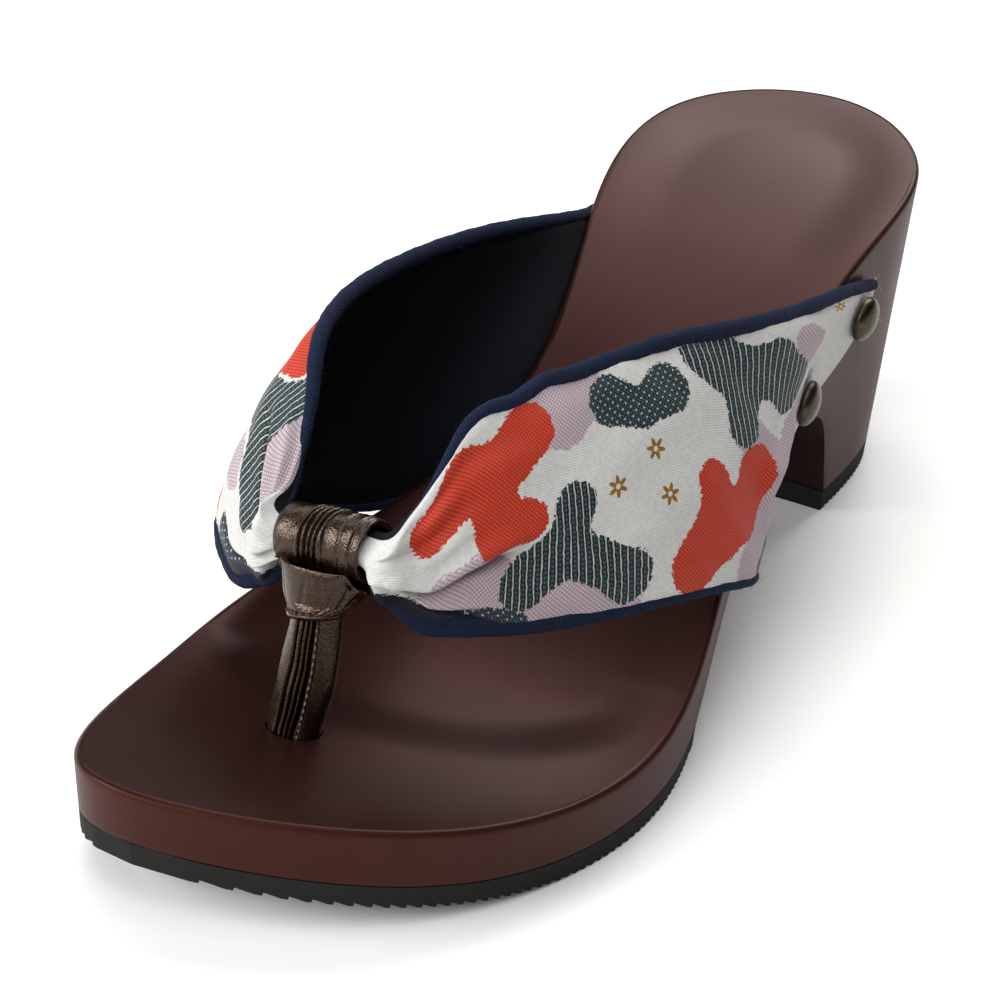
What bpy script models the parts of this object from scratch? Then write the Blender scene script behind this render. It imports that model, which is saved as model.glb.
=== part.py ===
"""A woman's left geta sandal, modelled in metres with +Y from toe to heel, +X to the outer side and +Z up.

One block of lacquered wood is footbed, arch and heel. Two rubber outsoles lie under it, a padded cloth strap
crosses the foot, and a leather band, collar and post hold the strap down between the toes. Domed studs nail
the strap's two ends to the sides of the block. The origin is on the floor, under the middle of the sandal.

Sizes in the tables and the named constants are millimetres; MM turns them into metres in one place.
"""

import math
from typing import NamedTuple

import bpy
import numpy as np

MM = 0.001
GAP = 0.3

MEDIAL = -1
LATERAL = 1

SHARP_EDGE = math.radians(35.0)
OUTLINE_SAMPLES = 720
TANGENT_REACH = 3

EDGE_ROUNDING = 1.3
QUARTER_ROUND_MIDDLE = 1.0 - math.sqrt(0.5)
WALL_DRAFT = 0.06
RUBBER_THICKNESS = 4.9
WOOD_FLOOR = RUBBER_THICKNESS + GAP
TOE_SPRING = 10.0
SPRING_START = -62.5
FOREFOOT_END = -24.0
HEEL_START = 69.0
FRONT_SAMPLES = 30
ARCH_SAMPLES = 26
BACK_SAMPLES = 16
FOOTBED_COLUMNS = 12
TREAD_PITCH = 2.0
TREAD_DEPTH = 0.8
TREAD_LAND = 0.5
TREAD_STEP = 0.1
TREAD_END_LAND = 1.5 * TREAD_PITCH

STRAP_WALL = 3.0
PIPING_RADIUS = 2.3
PIPING_RUNOUT = 22.0
STRAP_ROWS = 56
STRAP_COLUMNS = 18
STRAP_CONTROLS = 5
BUNDLE_HALF_DEPTH = 3.9
FOLD_START = 5.0
WOOD_REACH = 6.0

BAND_HALF_DEPTH = 5.7
BAND_HALF_HEIGHT = 6.3
LEATHER_WALL = 1.3
LEATHER_EDGE = 0.4
BAND_SIDES = 24
COLLAR_SIDES = 24
COLLAR_REACH = 0.985
COLLAR_PLAY = 0.5
POST_SIDES = 24
POST_PLEATS = 5
POST_PLEAT_DEPTH = 0.7
PLEATS_START = math.radians(195.0)
PLEATS_END = math.radians(295.0)
POST_HOLE_CLEARANCE = 0.35
HOLE_OVERRUN = 0.8

STUD_RADIUS = 4.8
STUD_HEIGHT = 3.0
STUD_EDGE = 0.5
STUD_SIDES = 20
DOME_RINGS = 4
DOME_END = math.radians(75.0)
HEAD_SEAT = STRAP_WALL + 2.0 * GAP + 0.4
SHANK_RADIUS = 1.1
SHANK_CLEARANCE = 0.3
SHANK_LENGTH = 9.0


class Corner(NamedTuple):
    """A point that the footbed's outline passes through."""

    name: str
    x: float
    y: float


class Level(NamedTuple):
    """A height at one place along the sandal's length."""

    y: float
    z: float


class Section(NamedTuple):
    """One cut across the strap, from its lower to its upper edge; bulge is how far its middle stands out."""

    name: str
    bottom: tuple
    top: tuple
    bulge: float
    roundness: float = 0.0


class Ring(NamedTuple):
    """One oval ring of a leather piece.

    It has a centre, half sizes across and along, a depth of pleats, and a lift of its outer side and of its front.
    """

    x: float
    y: float
    z: float
    across: float
    along: float
    pleat: float = 0.0
    side_lift: float = 0.0
    front_lift: float = 0.0


class Fold(NamedTuple):
    """A soft ridge in the strap that starts at the band: place across the strap, height, width and reach."""

    side: int
    place: float
    height: float
    width: float
    reach: float


class Stud(NamedTuple):
    """A domed stud on the side wall."""

    name: str
    side: int
    y: float
    z: float


OUTLINE = (
    Corner("toe_tip", -20.7, -122.4),
    Corner("toe_lateral", 21.9, -102.6),
    Corner("ball_lateral", 43.8, -70.0),
    Corner("tread_lateral", 48.4, -39.8),
    Corner("waist_lateral", 40.0, 6.9),
    Corner("heel_lateral", 37.8, 60.2),
    Corner("heel_back_lateral", 37.3, 102.0),
    Corner("heel_back", 12.5, 122.2),
    Corner("heel_back_medial", -19.3, 106.0),
    Corner("heel_medial", -22.1, 63.7),
    Corner("waist_medial", -15.4, 9.8),
    Corner("tread_medial", -40.7, -36.3),
    Corner("ball_medial", -48.4, -70.9),
    Corner("toe_medial", -41.3, -114.6),
)

RIM = (
    Level(-122.5, 26.7),
    Level(-87.5, 19.1),
    Level(-42.5, 19.4),
    Level(7.5, 41.3),
    Level(67.5, 65.3),
    Level(122.5, 72.7),
)

ARCH = (
    Level(FOREFOOT_END, WOOD_FLOOR),
    Level(-8.0, 13.2),
    Level(12.0, 24.0),
    Level(28.0, 32.6),
    Level(38.0, 35.6),
    Level(46.0, 35.2),
    Level(53.0, 32.8),
    Level(59.5, 28.8),
    Level(63.6, 22.0),
    Level(66.4, 13.5),
    Level(HEEL_START, WOOD_FLOOR),
)

HOLLOW = (
    Level(-76.0, 2.6),
    Level(-45.0, 2.8),
    Level(0.0, 1.6),
    Level(60.0, 1.1),
    Level(122.5, 1.1),
)
HOLLOW_RUNOUT = 17.0
CREST_CENTRE = (-1.0, -45.0)
CREST_HALF_WIDTH = 48.0
CREST_REACH = 31.0
CREST_SKEW = 0.1
CREST_SAMPLES = 60

STRAP = (
    Section("medial_waist", (-30.0, -9.0, 24.0), (-27.0, 33.0, 70.3), 1.0),
    Section("medial_arch", (-39.0, -24.0, 28.0), (-33.0, -2.0, 77.2), 3.0),
    Section("medial_instep", (-46.0, -38.0, 33.0), (-34.0, -28.0, 79.5), 3.5),
    Section("medial_ball", (-47.0, -51.0, 37.0), (-30.5, -44.0, 77.0), 3.5),
    Section("medial_throat", (-39.5, -61.5, 34.8), (-26.5, -54.0, 68.0), 3.5, 0.1),
    Section("medial_gather", (-31.5, -66.0, 37.5), (-25.6, -61.5, 59.5), 2.0, 0.5),
    Section("medial_band", (-24.6, -66.7, 46.3), (-24.4, -66.3, 55.1), 0.0, 1.0),
    Section("middle_band", (-13.8, -67.7, 48.4), (-13.8, -67.5, 57.0), 0.0, 1.0),
    Section("lateral_band", (-2.3, -68.9, 50.4), (-2.5, -68.5, 59.0), 0.0, 1.0),
    Section("lateral_gather", (1.8, -69.0, 43.2), (1.0, -62.6, 63.2), 2.0, 0.5),
    Section("lateral_throat", (11.0, -65.5, 39.4), (2.5, -49.5, 72.3), 3.0, 0.1),
    Section("lateral_ball", (21.0, -56.5, 38.2), (7.5, -36.5, 76.0), 3.0),
    Section("lateral_instep", (33.0, -42.0, 37.6), (14.5, -22.5, 76.6), 3.3),
    Section("lateral_arch", (44.5, -22.0, 35.4), (24.0, -2.5, 76.1), 3.0),
    Section("lateral_waist", (47.0, -6.0, 29.5), (35.5, 24.0, 71.6), 1.0),
)

STRAP_SEAT = (
    Level(1.0, 27.5),
    Level(13.0, 42.0),
    Level(30.0, 50.8),
    Level(48.0, 57.6),
    Level(60.0, 61.8),
)
STRAP_END = (
    Level(7.0, 25.0),
    Level(22.0, 38.0),
    Level(39.0, 45.0),
    Level(58.0, 47.8),
    Level(70.5, 58.2),
)

FOLDS = (
    Fold(MEDIAL, 0.26, 1.7, 0.13, 34.0),
    Fold(MEDIAL, 0.55, 1.3, 0.10, 26.0),
    Fold(MEDIAL, 0.82, 1.5, 0.11, 38.0),
    Fold(LATERAL, 0.16, 1.8, 0.09, 40.0),
    Fold(LATERAL, 0.44, 1.2, 0.12, 28.0),
    Fold(LATERAL, 0.76, 1.4, 0.12, 34.0),
)

BAND_AXIS = ((-23.6, -66.6, 50.8), (-4.0, -68.6, 54.6))
BAND_LENGTH = math.dist(*BAND_AXIS)
BAND_PLEATS = (7.0, 8.7, 10.4, 12.1)
BAND_PLEAT_DEPTH = 0.5
BAND_PLEAT_WIDTH = 0.55
BAND_SMOOTH_WAYS = (0.6, 3.5, 15.5, 19.0)

COLLAR = (
    Ring(-13.6, -74.0, 40.4, 5.4, 4.6, side_lift=1.3, front_lift=1.4),
    Ring(-13.6, -73.6, 41.3, 5.7, 4.9, side_lift=1.2, front_lift=1.2),
    Ring(-13.6, -72.9, 42.6, 6.5, 5.3, side_lift=0.9, front_lift=1.0),
    Ring(-13.6, -71.6, 44.0, 8.0, 5.8, side_lift=0.5, front_lift=0.6),
    Ring(-13.7, -70.4, 46.0, 9.6, 5.4),
)

POST = (
    Ring(-15.1, -84.0, 7.2, 5.2, 4.1),
    Ring(-14.8, -82.4, 12.0, 5.2, 4.1),
    Ring(-14.5, -81.0, 16.0, 5.3, 4.2, POST_PLEAT_DEPTH),
    Ring(-13.7, -77.6, 27.0, 5.8, 4.5, POST_PLEAT_DEPTH),
    Ring(-13.5, -75.2, 34.5, 5.5, 4.3, POST_PLEAT_DEPTH, 0.5, 0.5),
    Ring(-13.5, -74.2, 39.6, 5.0, 4.0, POST_PLEAT_DEPTH / 2.0, 1.3, 1.4),
    Ring(-13.6, -74.0, 39.9, 3.6, 2.9, 0.0, 1.3, 1.4),
    Ring(-13.6, -73.4, 42.4, 3.6, 2.9, 0.0, 1.3, 1.4),
)

STUDS = (
    Stud("stud_lateral_1", LATERAL, 62.0, 54.4),
    Stud("stud_lateral_2", LATERAL, 31.0, 49.4),
    Stud("stud_medial_1", MEDIAL, 62.0, 54.4),
    Stud("stud_medial_2", MEDIAL, 33.5, 47.4),
)


def cubic(knots, values, at, closed=False):
    """Cubic spline through the values at the knots, read at the places asked for."""
    knots, values, at = (np.asarray(part, float) for part in (knots, values, at))
    steps = np.diff(knots)
    slopes = np.diff(values, axis=0) / steps[:, None]
    count = len(steps) if closed else len(knots)
    matrix = np.zeros((count, count))
    right = np.zeros((count, values.shape[1]))
    for i in range(count):
        if not closed and i in (0, count - 1):
            matrix[i, i] = 1.0
            continue
        matrix[i, i - 1] += steps[i - 1]
        matrix[i, i] += 2.0 * (steps[i - 1] + steps[i])
        matrix[i, (i + 1) % count] += steps[i]
        right[i] = 6.0 * (slopes[i] - slopes[i - 1])
    bend = np.linalg.solve(matrix, right)
    if closed:
        bend = np.vstack([bend, bend[:1]])
    i = np.clip(np.searchsorted(knots, at, side="right") - 1, 0, len(steps) - 1)
    step = steps[i][:, None]
    after = (at - knots[i])[:, None] / step
    before = 1.0 - after
    straight = before * values[i] + after * values[i + 1]
    return straight + ((before**3 - before) * bend[i] + (after**3 - after) * bend[i + 1]) * step**2 / 6.0


def smoothstep(value):
    """Soft step from 0 to 1."""
    value = np.clip(value, 0.0, 1.0)
    return value * value * (3.0 - 2.0 * value)


def distance_to(path, points):
    """Distance from each point to an open path, both in plan."""
    start = path[None, :-1]
    along = path[None, 1:] - start
    offset = points[:, None] - start
    share = np.clip((offset * along).sum(-1) / (along**2).sum(-1), 0.0, 1.0)
    return np.linalg.norm(offset - share[..., None] * along, axis=-1).min(axis=1)


def sampled_outline():
    """The footbed's outline as a closed ring of points, from toe tip round the outer side."""
    corners = np.array([(corner.x, corner.y) for corner in OUTLINE + OUTLINE[:1]])
    knots = np.r_[0.0, np.cumsum(np.sqrt(np.linalg.norm(np.diff(corners, axis=0), axis=1)))]
    return cubic(knots, corners, np.linspace(0.0, knots[-1], OUTLINE_SAMPLES, endpoint=False), closed=True)


RING = sampled_outline()
RING_CLOSED = np.vstack([RING, RING[:1]])
TOE_INDEX = int(RING[:, 1].argmin())
RING_FROM_TOE = np.roll(RING, -TOE_INDEX, axis=0)
HEEL_INDEX = int(RING_FROM_TOE[:, 1].argmax())
SIDES = {
    LATERAL: RING_FROM_TOE[: HEEL_INDEX + 1],
    MEDIAL: np.vstack([RING_FROM_TOE[HEEL_INDEX:], RING_FROM_TOE[:1]])[::-1],
}
TOE_Y = RING_FROM_TOE[0, 1]
HEEL_Y = RING_FROM_TOE[HEEL_INDEX, 1]


def side_x(side, y):
    """The outline's x on one side at places along the length."""
    return np.interp(y, SIDES[side][:, 1], SIDES[side][:, 0])


def rim_z(y):
    """Height of the footbed's edge."""
    return cubic([level.y for level in RIM], [[level.z] for level in RIM], np.atleast_1d(y))[:, 0]


def toe_lift(y):
    """How far the sole has left the floor, rising towards the toe."""
    return TOE_SPRING * (np.clip(SPRING_START - np.asarray(y, float), 0.0, None) / (SPRING_START - TOE_Y)) ** 2


def crest_path():
    """The soft ridge that ends the hollow of the ball, from one side of the footbed to the other."""
    x = CREST_CENTRE[0] + CREST_HALF_WIDTH * np.cos(np.linspace(math.pi, 0.0, CREST_SAMPLES))
    reach = np.sqrt(1.0 - ((x - CREST_CENTRE[0]) / CREST_HALF_WIDTH) ** 2)
    y = CREST_CENTRE[1] - CREST_REACH * reach + CREST_SKEW * (x - CREST_CENTRE[0])
    return np.column_stack([x, y])


def footbed_z(points):
    """Height of the footbed at points in plan: the rim's height, less the hollow that the foot lies in."""
    crest = crest_path()
    from_edge = distance_to(RING_CLOSED, points)
    behind = points[:, 1] - np.interp(points[:, 0], crest[:, 0], crest[:, 1])
    from_crest = np.where(behind > 0.0, distance_to(crest, points), 0.0)
    inside = np.where(points[:, 1] > 0.0, from_edge, np.minimum(from_edge, from_crest))
    depth = np.interp(points[:, 1], [level.y for level in HOLLOW], [level.z for level in HOLLOW])
    return rim_z(points[:, 1]) - depth * smoothstep(inside / HOLLOW_RUNOUT)


def wall_x(side, y, z):
    """The wooden side wall's x at a place along the length and a height."""
    depth = np.clip(rim_z(y) - z, 0.0, None)
    return side_x(side, y) - side * WALL_DRAFT * depth


def angles(sides):
    """Angles of evenly spaced points round a circle."""
    return np.linspace(0.0, 2.0 * math.pi, sides, endpoint=False)


def eased(start, end, count):
    """Places from start to end, closer together near the start."""
    return start + (end - start) * (1.0 - np.cos(np.linspace(0.0, math.pi / 2.0, count)))


def arch_profile():
    """The underside between forefoot and heel, as places along the length and heights."""
    points = np.array([(level.y, level.z) for level in ARCH])
    knots = np.r_[0.0, np.cumsum(np.linalg.norm(np.diff(points, axis=0), axis=1))]
    return cubic(knots, points, np.linspace(0.0, knots[-1], ARCH_SAMPLES))


def mesh_object(name, vertices, faces, material):
    """A new object from points in millimetres and faces, shaded smooth apart from its sharp edges."""
    mesh = bpy.data.meshes.new(name)
    mesh.from_pydata([tuple(MM * value for value in vertex) for vertex in vertices], [], faces)
    mesh.validate()
    mesh.shade_smooth()
    mesh.set_sharp_from_angle(angle=SHARP_EDGE)
    mesh.materials.append(material)
    thing = bpy.data.objects.new(name, mesh)
    bpy.context.collection.objects.link(thing)
    return thing


def principled(name, colour, roughness, metallic=0.0, coat=0.0):
    """A material with the finish of one kind of piece."""
    material = bpy.data.materials.new(name)
    material.use_nodes = True
    shader = material.node_tree.nodes["Principled BSDF"]
    shader.inputs["Base Color"].default_value = (*colour, 1.0)
    shader.inputs["Roughness"].default_value = roughness
    shader.inputs["Metallic"].default_value = metallic
    shader.inputs["Coat Weight"].default_value = coat
    return material


def bridge(first, second):
    """Faces between two closed rings of vertex numbers of one length."""
    count = len(first)
    return [
        (first[i], first[(i + 1) % count], second[(i + 1) % count], second[i])
        for i in range(count)
    ]


def cut(thing, cutters):
    """Take each cutter's shape out of an object."""
    for cutter in cutters:
        cutter.hide_render = True
        cutter.display_type = "WIRE"
        modifier = thing.modifiers.new(f"cut_{cutter.name}", "BOOLEAN")
        modifier.operation = "DIFFERENCE"
        modifier.solver = "EXACT"
        modifier.object = cutter


def sheet_faces(lines, upward):
    """Faces between lines of vertex numbers from the inner to the outer side, in order from toe to heel."""
    faces = []
    for near, far in zip(lines, lines[1:]):
        for k in range(len(near) - 1):
            face = tuple(dict.fromkeys((near[k], near[k + 1], far[k + 1], far[k])))
            faces.append(face if upward else face[::-1])
    return faces


def sole_ring(places):
    """Points in plan round a stretch of the sole, with outward normals, place numbers and lines across.

    A stretch closes in one point where it reaches the toe tip or the back of the heel.
    """
    count = len(places)
    tip = int(places[0] <= TOE_Y)
    back = int(places[-1] >= HEEL_Y)
    order = np.r_[np.arange(count), np.arange(tip, count - back)[::-1]]
    side = np.where(np.arange(len(order)) < count, LATERAL, MEDIAL)
    y = places[order]
    ring = np.column_stack([np.where(side == LATERAL, side_x(LATERAL, y), side_x(MEDIAL, y)), y])
    if tip:
        ring[0] = RING_FROM_TOE[0]
    if back:
        ring[count - 1] = RING_FROM_TOE[HEEL_INDEX]
    nearest = np.linalg.norm(ring[:, None] - RING[None], axis=-1).argmin(axis=1)
    tangent = (np.roll(RING, -TANGENT_REACH, axis=0) - np.roll(RING, TANGENT_REACH, axis=0))[nearest]
    normal = np.column_stack([tangent[:, 1], -tangent[:, 0]]) / np.linalg.norm(tangent, axis=1)[:, None]
    lines = [
        (k, k) if (tip and k == 0) or (back and k == count - 1) else (2 * count - 1 - back - k, k)
        for k in range(count)
    ]
    return ring, normal, order, lines


def stacked_loops(ring, normal, courses):
    """Points of a loop round the sole for each course's inset and height, with their numbers."""
    vertices, loops = [], []
    for inset, height in courses:
        loops.append(list(range(len(vertices), len(vertices) + len(ring))))
        vertices.extend(np.column_stack([ring - normal * inset[:, None], height]).tolist())
    return vertices, loops


def wall_faces(loops):
    """Faces up the side wall, from loop to loop."""
    return [face for lower, upper in zip(loops, loops[1:]) for face in bridge(lower, upper)]


def wooden_base(material):
    """The block: footbed with its hollow, rounded rim, drafted sides, arch and heel in one piece."""
    arch = arch_profile()
    front = eased(TOE_Y, FOREFOOT_END, FRONT_SAMPLES)
    back = eased(HEEL_Y, HEEL_START, BACK_SAMPLES)[::-1]
    places = np.r_[front[:-1], arch[:, 0], back[1:]]
    floor = np.r_[WOOD_FLOOR + toe_lift(front[:-1]), arch[:, 1], np.full(len(back) - 1, WOOD_FLOOR)]
    ring, normal, order, lines = sole_ring(places)
    low = floor[order]
    rim = rim_z(ring[:, 1])
    even = np.ones(len(ring))
    vertices, loops = stacked_loops(ring, normal, (
        (WALL_DRAFT * (rim - low), low),
        (WALL_DRAFT * EDGE_ROUNDING * even, rim - EDGE_ROUNDING),
        (QUARTER_ROUND_MIDDLE * EDGE_ROUNDING * even, rim - QUARTER_ROUND_MIDDLE * EDGE_ROUNDING),
        (EDGE_ROUNDING * even, rim),
    ))
    top = np.array(vertices)[loops[-1]]
    share = (1.0 - np.cos(np.linspace(0.0, math.pi, FOOTBED_COLUMNS + 1)[1:-1])) / 2.0
    footbed = []
    for medial, lateral in lines:
        if medial == lateral:
            footbed.append([loops[-1][lateral]] * (FOOTBED_COLUMNS + 1))
            continue
        plan = top[medial, :2] + (top[lateral, :2] - top[medial, :2]) * share[:, None]
        inner = range(len(vertices), len(vertices) + len(plan))
        footbed.append([loops[-1][medial], *inner, loops[-1][lateral]])
        vertices.extend(np.column_stack([plan, footbed_z(plan)]).tolist())
    underside = [(loops[0][medial], loops[0][lateral]) for medial, lateral in lines]
    faces = wall_faces(loops) + sheet_faces(footbed, True) + sheet_faces(underside, False)
    return mesh_object("wooden_base", vertices, faces, material)


def tread_places(start, end):
    """Places along the length, with the height there of the saw teeth across the tread, flat at both ends."""
    places, heights = [start], [0.0]
    tooth = start + TREAD_PITCH
    while tooth < end - TREAD_END_LAND:
        places += [tooth - TREAD_LAND, tooth, tooth + TREAD_STEP]
        heights += [0.0, 0.0, TREAD_DEPTH]
        tooth += TREAD_PITCH
    return np.array(places + [end - TREAD_PITCH, end]), np.array(heights + [0.0, 0.0])


def outsole(name, start, end, material):
    """A rubber outsole under a stretch of the block, with saw teeth across its tread."""
    places, teeth = tread_places(start, end)
    ring, normal, order, lines = sole_ring(places)
    lift = toe_lift(ring[:, 1])
    depth = rim_z(ring[:, 1]) - lift
    vertices, loops = stacked_loops(ring, normal, [
        (WALL_DRAFT * (depth - height), height + lift)
        for height in (teeth[order], np.full(len(ring), RUBBER_THICKNESS))
    ])
    faces = wall_faces(loops)
    for loop, upward in zip(loops, (False, True)):
        faces += sheet_faces([(loop[medial], loop[lateral]) for medial, lateral in lines], upward)
    return mesh_object(name, vertices, faces, material)


def wall_line(side, levels):
    """A line across the strap where it lies against the side wall, from its lower to its upper edge."""
    y = np.array([level.y for level in levels])
    z = np.array([level.z for level in levels])
    x = wall_x(side, y, z) + side * (GAP + STRAP_WALL / 2.0)
    return np.column_stack([x, y, z])


def strap_controls():
    """A few points across each cut of the strap, from the medial end over the band to the lateral end."""
    bottoms = np.array([section.bottom for section in STRAP], float)
    tops = np.array([section.top for section in STRAP], float)
    along = np.gradient((bottoms + tops) / 2.0, axis=0)
    outward = np.cross(along, tops - bottoms)
    outward /= np.linalg.norm(outward, axis=1)[:, None]
    share = np.linspace(0.0, 1.0, STRAP_CONTROLS)
    arc = 4.0 * share * (1.0 - share)
    cuts = [
        bottom + (top - bottom) * share[:, None] + out * (section.bulge * arc)[:, None]
        for section, bottom, top, out in zip(STRAP, bottoms, tops, outward)
    ]
    ends = {side: [wall_line(side, levels) for levels in (STRAP_SEAT, STRAP_END)] for side in SIDES}
    return np.array([*reversed(ends[MEDIAL]), *cuts, *ends[LATERAL]])


def strap_middle():
    """The strap's middle surface as a grid, with each row's roundness and its ways from band and end."""
    controls = strap_controls()
    knots = np.r_[0.0, np.cumsum(np.linalg.norm(np.diff(controls[:, 2], axis=0), axis=1))]
    along = np.linspace(0.0, knots[-1], STRAP_ROWS)
    lines = cubic(knots, controls.reshape(len(controls), -1), along).reshape(STRAP_ROWS, STRAP_CONTROLS, 3)
    across = (1.0 - np.cos(np.linspace(0.0, math.pi, STRAP_COLUMNS))) / 2.0
    share = np.linspace(0.0, 1.0, STRAP_CONTROLS)
    grid = np.array([cubic(share, line, across) for line in lines])
    ends = len(controls) - len(STRAP)
    roundness = np.pad([section.roundness for section in STRAP], ends // 2)
    band = knots[ends // 2 + [section.name for section in STRAP].index("middle_band")]
    from_end = np.minimum(along, knots[-1] - along)
    return grid, across, np.interp(along, knots, roundness), along - band, from_end


def surface_normals(grid):
    """Outward unit normals of a grid of points."""
    normal = np.cross(np.gradient(grid, axis=0), np.gradient(grid, axis=1))
    return normal / np.linalg.norm(normal, axis=2)[..., None]


def fold_height(across, from_band):
    """How far the folds lift the strap's surface at each point of its grid."""
    lift = np.zeros((len(from_band), len(across)))
    for fold in FOLDS:
        way = np.clip(fold.side * from_band - BAND_LENGTH / 2.0, 0.0, None)
        strength = smoothstep(way / FOLD_START) * (1.0 - smoothstep(way / fold.reach))
        ridge = np.exp(-(((across - fold.place) / fold.width) ** 2))
        lift += fold.height * strength[:, None] * ridge[None]
    return lift


def clear_of_wood(inner, outer):
    """Move a pair of strap surfaces sideways until the inner one clears the wooden block."""
    for inside, outside in zip(inner, outer):
        side = MEDIAL if inside[:, 0].mean() < 0.0 else LATERAL
        y, z = inside[:, 1], inside[:, 2]
        near = 1.0 - smoothstep((z - rim_z(y)) / WOOD_REACH)
        short = side * (wall_x(side, y, z) - inside[:, 0]) + GAP
        shift = side * np.clip(short, 0.0, None) * near
        inside[:, 0] += shift
        outside[:, 0] += shift


def half_thickness(grid, across, roundness, from_end):
    """Half the strap's thickness: a padded wall with piped edges that gathers to a round bundle at the band."""
    height = np.linalg.norm(np.diff(grid, axis=1), axis=2).sum(axis=1)
    from_edge = np.minimum(across, 1.0 - across)[None] * height[:, None]
    swell = (PIPING_RADIUS - STRAP_WALL / 2.0) * smoothstep(from_end / PIPING_RUNOUT)
    piping = (STRAP_WALL / 2.0 + swell)[:, None]
    round_edge = np.sqrt(np.clip(piping**2 - (piping - from_edge) ** 2, 0.0, None))
    flat = np.where(from_edge < piping, round_edge, np.maximum(round_edge, STRAP_WALL / 2.0))
    bundle = BUNDLE_HALF_DEPTH * np.sqrt(np.clip(1.0 - (2.0 * across - 1.0) ** 2, 0.0, None))[None]
    return roundness[:, None] * bundle + (1.0 - roundness[:, None]) * flat


def strap_upper(material):
    """The strap: one padded wall with piped edges, its two wings joined where the band gathers them."""
    grid, across, roundness, from_band, from_end = strap_middle()
    normal = surface_normals(grid)
    half = half_thickness(grid, across, roundness, from_end)[..., None] * normal
    folds = fold_height(across, from_band)[..., None] * normal
    outer = grid + half + folds
    inner = grid - half + folds
    clear_of_wood(inner, outer)
    sections = np.concatenate([outer, inner[:, -2:0:-1]], axis=1)
    around = sections.shape[1]
    loops = [list(range(row * around, (row + 1) * around)) for row in range(STRAP_ROWS)]
    faces = [face[::-1] for first, second in zip(loops, loops[1:]) for face in bridge(first, second)]
    for loop, outward in ((loops[0], True), (loops[-1], False)):
        pairs = [(loop[-k % around], loop[k]) for k in range(STRAP_COLUMNS)]
        faces += sheet_faces(pairs, outward)
    return mesh_object("strap_upper", sections.reshape(-1, 3).tolist(), faces, material)


def tube(name, outer, inner, material):
    """A hollow piece from rings of points: an outer wall, an inner wall and a rim at each end."""
    vertices = [point for ring in (*outer, *inner) for point in ring]
    size = len(outer[0])
    loops = [list(range(i * size, (i + 1) * size)) for i in range(len(outer) + len(inner))]
    outside, inside = loops[: len(outer)], loops[len(outer):]
    faces = wall_faces(outside) + [face[::-1] for face in wall_faces(inside)]
    faces += [face[::-1] for face in bridge(outside[0], inside[0])]
    faces += bridge(outside[-1], inside[-1])
    return mesh_object(name, vertices, faces, material)


def solid_loft(name, rings, material):
    """A closed body through rings of points, from its lowest to its highest."""
    size = len(rings[0])
    vertices = [point for ring in rings for point in ring]
    loops = [list(range(i * size, (i + 1) * size)) for i in range(len(rings))]
    faces = wall_faces(loops)
    faces.append(tuple(reversed(loops[0])))
    faces.append(tuple(loops[-1]))
    return mesh_object(name, vertices, faces, material)


def toe_band(material):
    """The leather band round the gathered strap, with narrow pleats round its middle."""
    start, end = (np.array(point) for point in BAND_AXIS)
    direction = (end - start) / BAND_LENGTH
    up = np.array([0.0, 0.0, 1.0]) - direction * direction[2]
    up /= np.linalg.norm(up)
    back = np.cross(up, direction)

    def ring(way, swell):
        """One ring round the band's axis."""
        return [
            (start + direction * way + back * (BAND_HALF_DEPTH + swell) * math.cos(a)
             + up * (BAND_HALF_HEIGHT + swell) * math.sin(a)).tolist()
            for a in angles(BAND_SIDES)
        ]

    swells = {0.0: -LEATHER_EDGE, BAND_LENGTH: -LEATHER_EDGE}
    swells.update({way: 0.0 for way in BAND_SMOOTH_WAYS})
    for pleat in BAND_PLEATS:
        swells.update({pleat - BAND_PLEAT_WIDTH: 0.0, pleat: -BAND_PLEAT_DEPTH, pleat + BAND_PLEAT_WIDTH: 0.0})
    outer = [ring(way, swells[way]) for way in sorted(swells)]
    inner = [ring(way, -LEATHER_WALL) for way in (0.0, BAND_LENGTH)]
    return tube("toe_band", outer, inner, material)


def ring_point(ring, a, swell):
    """The point of an oval ring at an angle."""
    return [
        ring.x + (ring.across + swell) * math.cos(a),
        ring.y + (ring.along + swell) * math.sin(a),
        ring.z + ring.side_lift * math.cos(a) - ring.front_lift * math.sin(a),
    ]


def oval(ring, swell=0.0, sides=COLLAR_SIDES):
    """Points round one oval ring."""
    return [ring_point(ring, a, swell) for a in angles(sides)]


def pleated_oval(ring):
    """Points round one ring of the post: pleats on its front and medial side, smooth behind."""
    pleats = np.linspace(PLEATS_START, PLEATS_END, 2 * POST_PLEATS + 1)
    smooth = np.linspace(PLEATS_END, PLEATS_START + 2.0 * math.pi, POST_SIDES + 1)[1:-1]
    points = []
    for i, a in enumerate((*pleats, *smooth)):
        groove = ring.pleat if i < len(pleats) and i % 2 == 0 else 0.0
        points.append(ring_point(ring, a, -groove))
    return points


def toe_collar(material):
    """The leather collar: a cone from the neck of the post up to the band, hollow, its rim round the band."""
    outer = [oval(ring) for ring in COLLAR]
    inner = [oval(ring, -LEATHER_WALL) for ring in COLLAR]
    start, end = (np.array(point) for point in BAND_AXIS)
    for point in (*outer[-1], *inner[-1]):
        axis = start + (end - start) * (point[0] - start[0]) / (end[0] - start[0])
        offset = min(abs(point[1] - axis[1]) / (BAND_HALF_DEPTH + COLLAR_PLAY), COLLAR_REACH)
        point[2] = axis[2] - (BAND_HALF_HEIGHT + COLLAR_PLAY) * math.sqrt(1.0 - offset**2)
    return tube("toe_collar", outer, inner, material)


def toe_post(material):
    """The leather post between the toes, pleated along its front, down into its hole in the block."""
    return solid_loft("toe_post", [pleated_oval(ring) for ring in POST], material)


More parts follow.
